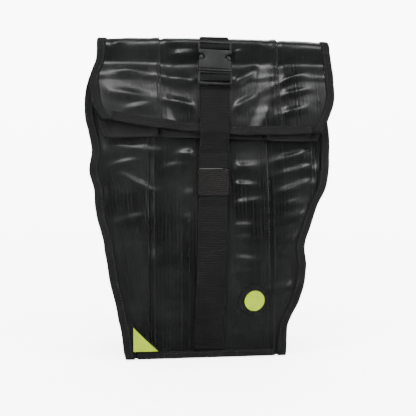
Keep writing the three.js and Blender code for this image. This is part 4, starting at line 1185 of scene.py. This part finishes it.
# The buckle's own frame: Z runs up the strap and -Y is its front
def buckle_frame():
    def surface(z):
        y, _, ny, _ = flap_profile("outer", z)
        return float(y + ny * (LAYER_GAP_MIDDLE - LAYER_GAP + RUBBER / 2))
    low, middle, high = HEIGHT - BUCKLE_DROP - PLUG_LENGTH, HEIGHT - BUCKLE_DROP, FOLD_CENTRE_Z
    low_y = surface(low) - 2 * FACET_GAP - WEBBING - GAP - PLUG_THICKNESS / 2
    high_y = surface(high) - 2 * FACET_GAP - BUCKLE_THICKNESS / 2
    slope = (high_y - low_y) / (high - low)
    place = np.array([strap_x(middle), low_y + slope * (middle - low), middle])
    pitch, yaw = -math.atan(slope), math.atan((STRAP_HEAD_X - STRAP_FOOT_X) / HEIGHT)
    c, s = math.cos(yaw), math.sin(yaw)
    return place, np.array([[c, 0, s], [0, 1, 0], [-s, 0, c]]) @ turn_about_x(pitch)


BUCKLE_PLACE, BUCKLE_TURN = buckle_frame()


def on_buckle(points):
    return np.asarray(points, float) @ BUCKLE_TURN.T + BUCKLE_PLACE


def threaded(place, bar_z, bar, slot, thickness, way):
    behind = thickness / 2 + WEBBING / 2 + GAP
    middle = bar / 2 + slot / 2
    bend = 0.7
    corners = ((behind, -middle - slot), (behind, -middle - bend), (behind - bend, -middle),
               (bend - behind, -middle), (-behind, bend - middle), (-behind, middle - bend),
               (bend - behind, middle), (behind / 3, middle))
    return place(np.array([(0, y, bar_z + way * z) for y, z in corners]))


# Where the strap lies on the flap's outer layer at a height
def flap_strap(z, lift):
    y, _, ny, nz = flap_profile("outer", z)
    out = LAYER_GAP_MIDDLE - LAYER_GAP + lift
    return np.stack([strap_x(z), y + out * ny, z + out * nz], axis=-1)


def add_strap():
    foot = BASE_TAPE_WIDTH + SEAM_FOOT + GAP
    mouth, lip = (float(mouth_z(layer, STRAP_HEAD_X)) for layer in ("inner", "outer"))
    z = np.arange(foot, mouth - TAPE_WIDTH - 4 * STEP, STEP)
    rising = smoothstep(z, KEEPER_FOOT - KEEPER_RAMP, KEEPER_FOOT - KEEPER_CLEAR)
    falling = 1 - smoothstep(z, KEEPER_TOP + KEEPER_CLEAR, KEEPER_TOP + KEEPER_RAMP)
    body = front_at(strap_x(z), z, lerp(STRAP_LIFT, KEEPER_LIFT, rising * falling))
    over_bar = threaded(on_buckle, PLUG_LADDER["bar"] - PLUG_LENGTH, PLUG_BAR, SLOT, PLUG_THICKNESS, 1)
    z = np.arange(lip, over_bar[0][2] - WEBBING, STEP)
    over_tape = 1 - smoothstep(z - lip, TAPE_WIDTH, TAPE_WIDTH + 4 * STEP)
    flap = flap_strap(z, STRAP_LIFT + (TAPE + 2 * FACET_GAP) * over_tape)
    step_up = rounded_path([*body[-3:], *flap[:2]], STEP_UP_BEND)[3:-1]
    path = np.concatenate([body[:-2], step_up, flap[2:], rounded_path([flap[-1], *over_bar], STRAP_BEND)[1:]])
    add_band("closure_strap_webbing", "closure_strap", path, WEBBING_WIDTH)


def add_upper_strap():
    start = int(np.argmax(BODY_Z > 0.8 * FOLD_CENTRE_Z))
    end = FOLD_START + FOLD_ROWS // 2 + 2
    z = BACK.profile(np.full((ROWS, 1), float(STRAP_HEAD_X)))[1][:, 0]
    over = BACK.points(strap_x(z)[:, None], STRAP_LIFT)[start:end, 0]
    loop = threaded(on_buckle, SOCKET_TOP - SOCKET_LADDER["bar"], BAR, SLOT, BAR, -1)
    path = np.concatenate([over, rounded_path([over[-1], *loop], STRAP_BEND)[1:]])
    add_band("upper_strap_webbing", "upper_strap", path, WEBBING_WIDTH)


def add_keeper():
    inner = KEEPER_HALF - KEEPER_RETURN
    corners = [(-inner, KEEPER_BEHIND), (-KEEPER_HALF, KEEPER_BEHIND), (-KEEPER_HALF, KEEPER_FRONT),
               (KEEPER_HALF, KEEPER_FRONT), (KEEPER_HALF, KEEPER_BEHIND), (inner, KEEPER_BEHIND)]
    path = resampled(rounded_path(corners, 1.4), 1.2)
    rows = []
    for height in np.linspace(KEEPER_FOOT, KEEPER_TOP, 60):
        rib = KEEPER_RIB * math.sin(2 * math.pi * (height - KEEPER_FOOT) / KEEPER_RIB_PITCH)
        flare = KEEPER_FLARE * smoothstep(height, KEEPER_TOP - KEEPER_FLARE_HEIGHT, KEEPER_TOP)
        lift = KEEPER_LIFT + path[:, 1] + rib + flare
        place = front_at(np.full(len(path), strap_x(height)), np.full(len(path), height), lift)
        place[:, 0] += path[:, 0]
        rows.append(place)
    join_rides(cloth("strap_keeper_elastic", rows, TAPE, ELASTIC_FINISH), "webbing", "strap_keeper")


# A pale strip along the keeper's upper edge: a painted highlight where that edge catches the light
def add_keeper_painted_highlight():
    x = strap_x(KEEPER_TOP) + np.linspace(1 - KEEPER_HALF, KEEPER_HALF - KEEPER_RETURN, 40)
    lift = KEEPER_LIFT + KEEPER_FRONT + TAPE
    rows = [front_at(x, np.full(len(x), KEEPER_TOP + rise), lift) for rise in (-0.6, -0.2, 0.2, 0.6)]
    join_rides(cloth("strap_keeper_painted_highlight", rows, KEEPER_HIGHLIGHT_THICKNESS, KEEPER_HIGHLIGHT_FINISH), "webbing")


# The elastic's end, which curls out beside the keeper. Its places run from KEEPER_HALF and KEEPER_TOP
KEEPER_END = ((2 - KEEPER_RETURN, -1), (-3, 2), (2.5, -1), (3, -13))
KEEPER_END_DEPTH = 4


def add_keeper_end():
    corners = [(KEEPER_HALF + across, KEEPER_TOP + up) for across, up in KEEPER_END]
    x, z = resampled(rounded_path(corners, 3), 0.8).T
    rises = np.linspace(0, KEEPER_END_DEPTH, 6)
    rows = [front_at(strap_x(KEEPER_TOP) + x, z, KEEPER_LIFT - 1 + rise) for rise in rises]
    join_rides(cloth("strap_keeper_end", rows, TAPE, ELASTIC_FINISH), "webbing")


# Moulded plates with rounded edges, from outlines in their own X and Z
def rounded_ring(width, height, middle_z, radius, steps=6):
    points = []
    for across, up, start in ((1, -1, -90), (1, 1, 0), (-1, 1, 90), (-1, -1, 180)):
        for k in range(steps + 1):
            angle = math.radians(start + 90 * k / steps)
            points.append((across * (width / 2 - radius) + radius * math.cos(angle),
                           middle_z + up * (height / 2 - radius) + radius * math.sin(angle)))
    return points


def plate_mesh(outlines, thickness, bevel):
    curve = bpy.data.curves.new("outline", "CURVE")
    curve.dimensions = "2D"
    curve.fill_mode = "BOTH"
    curve.extrude = thickness / 2 - bevel
    curve.bevel_depth = bevel
    curve.bevel_resolution = 3
    curve.offset = -bevel
    for outline in outlines:
        spline = curve.splines.new("POLY")
        spline.points.add(len(outline) - 1)
        spline.use_cyclic_u = True
        for point, (x, z) in zip(spline.points, outline):
            point.co = (x, z, 0, 1)
    shaped = bpy.data.objects.new("outline", curve)
    bpy.context.scene.collection.objects.link(shaped)
    bpy.context.view_layer.update()
    mesh = bpy.data.meshes.new_from_object(shaped.evaluated_get(bpy.context.evaluated_depsgraph_get()))
    flat = np.array([vertex.co for vertex in mesh.vertices])
    points = np.stack([flat[:, 0], -flat[:, 2], flat[:, 1]], axis=-1)
    faces = [tuple(face.vertices) for face in mesh.polygons]
    bpy.data.objects.remove(shaped)
    bpy.data.curves.remove(curve)
    bpy.data.meshes.remove(mesh)
    return points, faces


# A closed rounded bar through sections of half width and half depth up its length
def loft_mesh(sections, centre_x, steps, power):
    angle = np.linspace(0, 2 * np.pi, steps, endpoint=False)
    c, s = np.cos(angle), np.sin(angle)
    round_x = np.sign(c) * np.abs(c) ** (2 / power)
    round_y = np.sign(s) * np.abs(s) ** (2 / power)
    rings = [(centre_x + w * round_x, d * round_y, np.full(steps, z)) for z, w, d in sections]
    points = np.concatenate([np.stack(ring, axis=-1) for ring in rings])
    return points, bar_faces(len(sections), steps)


def moulded(name, parts, place):
    vertices, faces = merged(parts)
    made = new_object(name, place(vertices), faces, PLASTIC_FINISH)
    made.data.set_sharp_from_angle(angle=math.radians(38))
    return made


RECESS_DEPTH = 8.5
RECESS_HEIGHT = 11
RECESS_MIDDLE = 0.44 * SOCKET_LENGTH
SOCKET_WALL = 1.6
SOCKET_ROUNDING = 1.2
ROUNDING_STEPS = np.array([0, 0.15, 0.5, 1.1])
PINCH_HEIGHT = 9.2
PINCH_WIDTH = 3.1
PINCH_DEPTH = 2.1
PINCH_RIB = 0.2
PINCH_STEPS = 24


def add_socket():
    ladder_length = SOCKET_LADDER["second"] + SLOT / 2 + SOCKET_WALL
    top = SOCKET_TOP - ladder_length + SOCKET_WALL
    z = np.concatenate([GAP + ROUNDING_STEPS, np.linspace(GAP + 2, top - 2, 60), top - ROUNDING_STEPS[::-1]])
    end = np.clip(np.minimum(z - GAP, top - z) / SOCKET_ROUNDING, 0, 1)
    rounding = SOCKET_ROUNDING * (1 - np.sqrt(np.clip(1 - (1 - end) ** 2, 0, 1)))
    inside = np.clip(1 - ((z - RECESS_MIDDLE) / (RECESS_HEIGHT / 2)) ** 2, 0, 1)
    half_width = BUCKLE_WIDTH / 2 - rounding - RECESS_DEPTH * np.sqrt(inside) ** 1.3
    half_depth = BUCKLE_THICKNESS / 2 - rounding
    body = loft_mesh(list(zip(z, half_width, half_depth)), 0, 64, 7)
    frame_height = ladder_length + 1
    outlines = [rounded_ring(BUCKLE_WIDTH, frame_height, SOCKET_TOP - frame_height / 2, 3)]
    for drop in (SOCKET_LADDER["first"], SOCKET_LADDER["second"]):
        outlines.append(rounded_ring(WEBBING_WIDTH + 2 * GAP, SLOT, SOCKET_TOP - drop, 0.8))
    made = moulded("buckle_socket_shell", [body, plate_mesh(outlines, BAR, 0.7)], on_buckle)
    join_rides(made, "buckle_plastic", "buckle_socket")


# The pads that are pinched to open the buckle, with fine ribs across
def pinch_sections():
    sections = []
    for k in range(PINCH_STEPS + 1):
        place = k / PINCH_STEPS - 0.5
        full = math.sqrt(max(0.05, 1 - (place / 0.525) ** 2))
        width = PINCH_WIDTH * full + PINCH_RIB * math.cos(2.1 * k)
        sections.append((RECESS_MIDDLE + PINCH_HEIGHT * place, width, PINCH_DEPTH * full))
    return sections


def add_plug():
    outlines = [rounded_ring(BUCKLE_WIDTH, PLUG_LENGTH, -PLUG_LENGTH / 2, 3.5)]
    for rise in (PLUG_LADDER["first"], PLUG_LADDER["second"]):
        outlines.append(rounded_ring(WEBBING_WIDTH + 2 * GAP, SLOT, rise - PLUG_LENGTH, 0.9))
    parts = [plate_mesh(outlines, PLUG_THICKNESS, 0.9)]
    parts.append(plate_mesh([rounded_ring(BUCKLE_WIDTH, 2.6, -1.3, 0.8)], BUCKLE_THICKNESS, 0.5))
    for side in INWARDS.values():
        parts.append(loft_mesh(pinch_sections(), -side * (BUCKLE_WIDTH - PINCH_HEIGHT) / 2, 24, 4))
    made = moulded("buckle_plug_ladder", parts, on_buckle)
    join_rides(made, "buckle_plastic", "buckle_plug")


# Patches on the front
def patch(name, x, z, lift, node, slot, material):
    made = cloth(name, front_at(x, z, lift), TRIM, material)
    return join_rides(made, slot, node)


def add_corner():
    x0 = FRONT.left[round(OUTLINE["height"][1] * FOLD_CENTRE_Z / STEP)] + TAPE_WIDTH
    z0 = SEAM_FOOT + BASE_TAPE_WIDTH + GAP
    lift = RUBBER / 2 + FACET_GAP + TRIM / 2
    t = np.linspace(0, 1, 36)
    for leg, shift, own_lift, name, node, slot, material in (
        (CORNER_LEG + CORNER_BORDER, 0, lift, "corner_backing_cloth", "corner_backing", "nylon", TAPE_FINISH),
        (CORNER_LEG, GAP, lift + TRIM + GAP, "reflective_triangle_film", "reflective_triangle", "reflective",
         REFLECTIVE_FINISH),
    ):
        width = np.maximum(0.8, leg * (1 - t))
        x = x0 + shift + width[:, None] * t[None, :]
        z = (z0 + shift + leg * t)[:, None] + 0 * x
        patch(name, x, z, own_lift, node, slot, material)


def add_badge():
    lift = RUBBER / 2 + FACET_GAP + TRIM / 2 + 0.3
    rise = np.linspace(-0.5, 0.5, 40) * math.pi * 0.97
    across = np.linspace(-1, 1, 36)
    for radius, own_lift, name, node, slot, material in (
        (BADGE_RADIUS, lift, "badge_patch_cloth", "badge_patch", "nylon", TAPE_FINISH),
        (BADGE_DOT_RADIUS, lift + TRIM + GAP, "badge_dot_film", "badge_dot", "reflective", REFLECTIVE_FINISH),
    ):
        x = BADGE_X + radius * np.cos(rise)[:, None] * across[None, :]
        z = BADGE_Z + (radius * np.sin(rise))[:, None] + 0 * x
        patch(name, x, z, own_lift, node, slot, material)


# Harness on the hidden back
PAD_FOOT_Z = HARNESS["height"][-1] * HEIGHT
PAD_FOOT_LIFT = HARNESS["lift"][-1]
BACK_LIFT = RUBBER / 2 + FACET_GAP
FULLNESS = table(("across", "full"), ((0, 0.45), (0.14, 0.85), (0.5, 1), (0.86, 0.85), (1, 0.45)))
PAD_ROWS = 110
PAD_COLUMNS = 31
PAD_INSET = 3
PAD_START = 0.78  # the share of its thickness that a pad has before it swells
PAD_SWELL = 1
PAD_VOXEL = 4
PAD_PRESSURE = 4
PAD_FRAMES = 20
PAD_BINDING = ((7, 3.9), (4.5, 3.6), (2, 3.1), (0, 2.6), (-0.9, 1.7), (-1.1, 0.6))  # inwards, lift
ADJUSTER_TILT_SPAN = 10
LOWER_WEBBING_ROWS = 60


def harness_lines(side):
    height = lerp(HARNESS["height"][0], HARNESS["height"][-1], np.linspace(0, 1, PAD_ROWS))
    rising = {name: column[::-1] for name, column in HARNESS.items()}
    reach, lift, width = (at(rising, "height", height, name) for name in ("reach", "lift", "width"))
    x = -INWARDS[side] * lerp(HARNESS_TOP_X, HARNESS_FOOT_X, reach)
    middle = np.maximum(BACK_LIFT + PAD_THICKNESS / 2, PAD_LIFT * lift)
    return x, height * HEIGHT, middle, width * PAD_WIDTH - PAD_INSET


# The evaluated mesh takes the place of the piece's own, and its modifiers go
def settle(piece):
    graph = bpy.context.evaluated_depsgraph_get()
    settled = bpy.data.meshes.new_from_object(piece.evaluated_get(graph), depsgraph=graph)
    old = piece.data
    piece.modifiers.clear()
    piece.data = settled
    bpy.data.meshes.remove(old)


def mesh_points(piece):
    points = np.empty(len(piece.data.vertices) * 3, np.float32)
    piece.data.vertices.foreach_get("co", points)
    return points.reshape(-1, 3)


# Foam swells the cloth of a pad, with no point moving further than PAD_SWELL
def swell(piece):
    remesh = piece.modifiers.new("even_cloth", "REMESH")
    remesh.mode = "VOXEL"
    remesh.voxel_size = PAD_VOXEL * METRE
    remesh.use_smooth_shade = True
    settle(piece)
    before = mesh_points(piece)
    filling = piece.modifiers.new("filling", "CLOTH")
    filling.settings.use_pressure = True
    filling.settings.uniform_pressure_force = PAD_PRESSURE
    filling.settings.effector_weights.gravity = 0
    for frame in range(1, PAD_FRAMES + 1):
        bpy.context.scene.frame_set(frame)
    settle(piece)
    move = mesh_points(piece) - before
    far = np.maximum(np.linalg.norm(move, axis=1, keepdims=True), TINY)
    move = move * np.minimum(1, PAD_SWELL * METRE / far)
    piece.data.vertices.foreach_set("co", (before + move).ravel())
    bpy.context.scene.frame_set(1)
    piece.modifiers.new("smooth_cloth", "SUBSURF").levels = 1
    settle(piece)


def add_shoulder_strap(side):
    x, z, middle, width = harness_lines(side)
    across = np.linspace(0, 1, PAD_COLUMNS)
    half = at(FULLNESS, "across", across, "full") * PAD_START * PAD_THICKNESS / 2
    columns = x[:, None] + (across[None, :] - 0.5) * width[:, None]
    rows = np.broadcast_to(z[:, None], columns.shape)
    outer, inner = (back_at(columns, rows, middle[:, None] + way * half[None, :]) for way in (1, -1))
    vertices = np.concatenate([outer.reshape(-1, 3), inner.reshape(-1, 3)])
    made = new_object(f"{side}_shoulder_pad", vertices, sheet_faces(*columns.shape), PAD_FINISH)
    swell(made)
    join_rides(made, "padding", f"{side}_shoulder_strap")
    for edge_side in (-1, 1):
        add_pad_binding(side, edge_side)


# Tape folded round a long edge of a pad, sewn down in one row
def add_pad_binding(side, edge_side):
    x, z, middle, width = harness_lines(side)
    edge = x + edge_side * width / 2
    place = lambda inwards, lift: back_at(edge - edge_side * inwards, z, middle + lift)
    outer = [place(inwards, lift) for inwards, lift in PAD_BINDING]
    inner = [place(inwards, -lift) for inwards, lift in PAD_BINDING[::-1]]
    grid = np.stack(outer + inner, axis=1)
    name = f"{side}_pad_binding_{'right' if edge_side > 0 else 'left'}"
    join_rides(cloth(name, grid, TRIM, TAPE_FINISH), "nylon")
    _, _, ny, nz = body_profile("back", z)
    out = np.stack([np.zeros_like(ny), ny, nz], axis=-1)
    inwards, lift = PAD_BINDING[1]
    stitches(name + "_stitches", [(place(inwards, lift + TRIM / 2)[3:-3], out[3:-3])], "nylon")


# The adjuster at the foot of a shoulder strap, and the webbing that runs from it to the base
def add_adjuster(side):
    x = float(-INWARDS[side] * HARNESS_FOOT_X)
    foot_z = TAPE_WIDTH + 4 * GAP + SEAM_FOOT
    z = PAD_FOOT_Z - GAP - ADJUSTER_LENGTH / 2

    def at_height(height):
        lift = lerp(BACK_LIFT + WEBBING / 2, PAD_LIFT * PAD_FOOT_LIFT, smoothstep(height, foot_z, PAD_FOOT_Z))
        return back_at(np.array(x), np.array(height), float(lift))

    above, below = at_height(z + ADJUSTER_TILT_SPAN), at_height(z - ADJUSTER_TILT_SPAN)
    tilt = math.atan2(below[1] - above[1], above[2] - below[2])
    turn = turn_about_x(tilt) @ np.diag([-1.0, -1.0, 1.0])
    place = lambda points: np.asarray(points, float) @ turn.T + at_height(z)
    outlines = [rounded_ring(ADJUSTER_WIDTH, ADJUSTER_LENGTH, 0, 4)]
    for way in (-1, 1):
        slot_z = way * (ADJUSTER_OPENING + ADJUSTER_BAR) / 2
        outlines.append(rounded_ring(HARNESS_WEBBING_WIDTH + 2 * GAP, ADJUSTER_OPENING, slot_z, 1))
    made = moulded(f"{side}_adjuster_ladder", [plate_mesh(outlines, ADJUSTER_THICKNESS, 0.9)], place)
    join_rides(made, "buckle_plastic", f"{side}_adjuster")

    over_bar = threaded(place, 0, ADJUSTER_BAR, ADJUSTER_OPENING, ADJUSTER_THICKNESS, 1)
    lowest = over_bar[0][2] - 4
    height = np.linspace(foot_z, lowest, LOWER_WEBBING_ROWS)
    across = np.full(LOWER_WEBBING_ROWS, x)
    ground = back_at(across, height, 0)
    lift = lerp(BACK_LIFT + WEBBING / 2, over_bar[0][1] - ground[:, 1], smoothstep(height, foot_z, lowest))
    free = back_at(across, height, lift)
    path = np.concatenate([free, rounded_path([free[-1], *over_bar], STRAP_BEND)[1:]])
    add_band(f"{side}_lower_webbing_strap", f"{side}_lower_webbing", path, HARNESS_WEBBING_WIDTH)


# Stage, light and camera, in metres
FLOOR_REACH = (0.002, 1.5, 1.8, 2.05, 2.2, 2.28, 2.3, 2.3)
FLOOR_RISE = (0, 0, 0.02, 0.1, 0.25, 0.45, 0.7, 2.6)
FLOOR_STEP = 0.06
FLOOR_TURNS = 73
FLOOR_GLOW = 3.4
LIGHT_AIM = (0, 0, 0.2)
LIGHTS = {  # place, size and watts
    "key": ((-0.4, -0.72, 1.9), (1.0, 0.36), 23),
    "fill": ((0.85, -0.75, 1.75), (0.7, 0.36), 13),
    "left": ((-1.4, -0.75, 0.75), (0.3, 0.8), 15),
    "right": ((1.5, -0.75, 0.7), (0.3, 0.8), 13),
    "behind": ((0.3, 0.95, 1.75), (0.9, 0.3), 9),
}
SKY_COLOUR = (0.9, 0.94, 1.0, 1)
SKY_STRENGTH = 0.14


# A pale floor that sweeps up all round. The bag was photographed without one, so its rubber
# doesn't mirror it
def add_floor():
    path = resampled(np.stack([FLOOR_REACH, FLOOR_RISE], axis=-1), FLOOR_STEP)
    turn = np.linspace(0, 2 * np.pi, FLOOR_TURNS)
    reach, rise = path[:, :1], np.broadcast_to(path[:, 1:], (len(path), FLOOR_TURNS))
    grid = np.stack([reach * np.cos(turn), reach * np.sin(turn), rise], axis=-1)
    glow = {"Emission_Color": (1, 1, 1), "Emission_Strength": FLOOR_GLOW}
    finish = Finish("pale_floor", (0.9, 0.9, 0.9), 0.8, **glow)
    faces = grid_faces(*grid.shape[:2])
    made = new_object("floor", grid.reshape(-1, 3) / METRE - SHIFT, faces, finish.material)
    made.visible_glossy = False
    made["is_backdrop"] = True


# Puts a lamp or the camera in the scene, turned to its target
def aim(name, data, place, target):
    made = bpy.data.objects.new(name, data)
    made.location = place
    made.rotation_euler = (Vector(target) - Vector(place)).to_track_quat("-Z", "Y").to_euler()
    bpy.context.scene.collection.objects.link(made)
    return made


def add_studio():
    for name, (place, size, power) in LIGHTS.items():
        light = bpy.data.lights.new(name, "AREA")
        light.shape = "RECTANGLE"
        light.size, light.size_y = size
        light.energy = power
        aim(name, light, place, LIGHT_AIM)
    world = bpy.data.worlds.new("studio")
    world.use_nodes = True
    sky = world.node_tree.nodes["Background"]
    sky.inputs["Color"].default_value = SKY_COLOUR
    sky.inputs["Strength"].default_value = SKY_STRENGTH
    bpy.context.scene.world = world


CAMERA_AZIMUTH = -6.5
CAMERA_DISTANCE = 0.98
CAMERA_HEIGHT = 0.245
CAMERA_AIM = (-0.0055, -0.0295, 0.189)
CAMERA_LENS = 62.75


def add_camera():
    camera = bpy.data.cameras.new("camera")
    camera.lens = CAMERA_LENS
    azimuth = math.radians(CAMERA_AZIMUTH)
    across = CAMERA_AIM[0] + CAMERA_DISTANCE * math.sin(azimuth)
    place = (across, -CAMERA_DISTANCE * math.cos(azimuth), CAMERA_HEIGHT)
    bpy.context.scene.camera = aim("camera", camera, place, CAMERA_AIM)


for panel in (FRONT, BACK):
    add_strips(panel)
    for side in ("left", "right"):
        add_seam_tape(panel, side)
for side in ("left", "right"):
    add_gusset(side)
    add_shoulder_strap(side)
    add_adjuster(side)
add_mouth_tape("mouth_tape_outer", BACK, TAPE_WIDTH + 2 * GAP)
add_mouth_tape("mouth_tape_inner", FRONT, TAPE_WIDTH + TUCK + 4 * GAP)
add_base()
add_wall_foot(FRONT, -1)
add_wall_foot(BACK, 1)
for side in INWARDS:
    add_gusset_foot(side)
add_strap()
add_upper_strap()
add_keeper()
add_keeper_painted_highlight()
add_keeper_end()
add_socket()
add_plug()
add_corner()
add_badge()
add_floor()
add_studio()
add_camera()

VISUAL_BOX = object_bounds()
sizes = {"cad": [list(corner) for corner in CAD_BOX], "visual": [list(corner) for corner in VISUAL_BOX]}
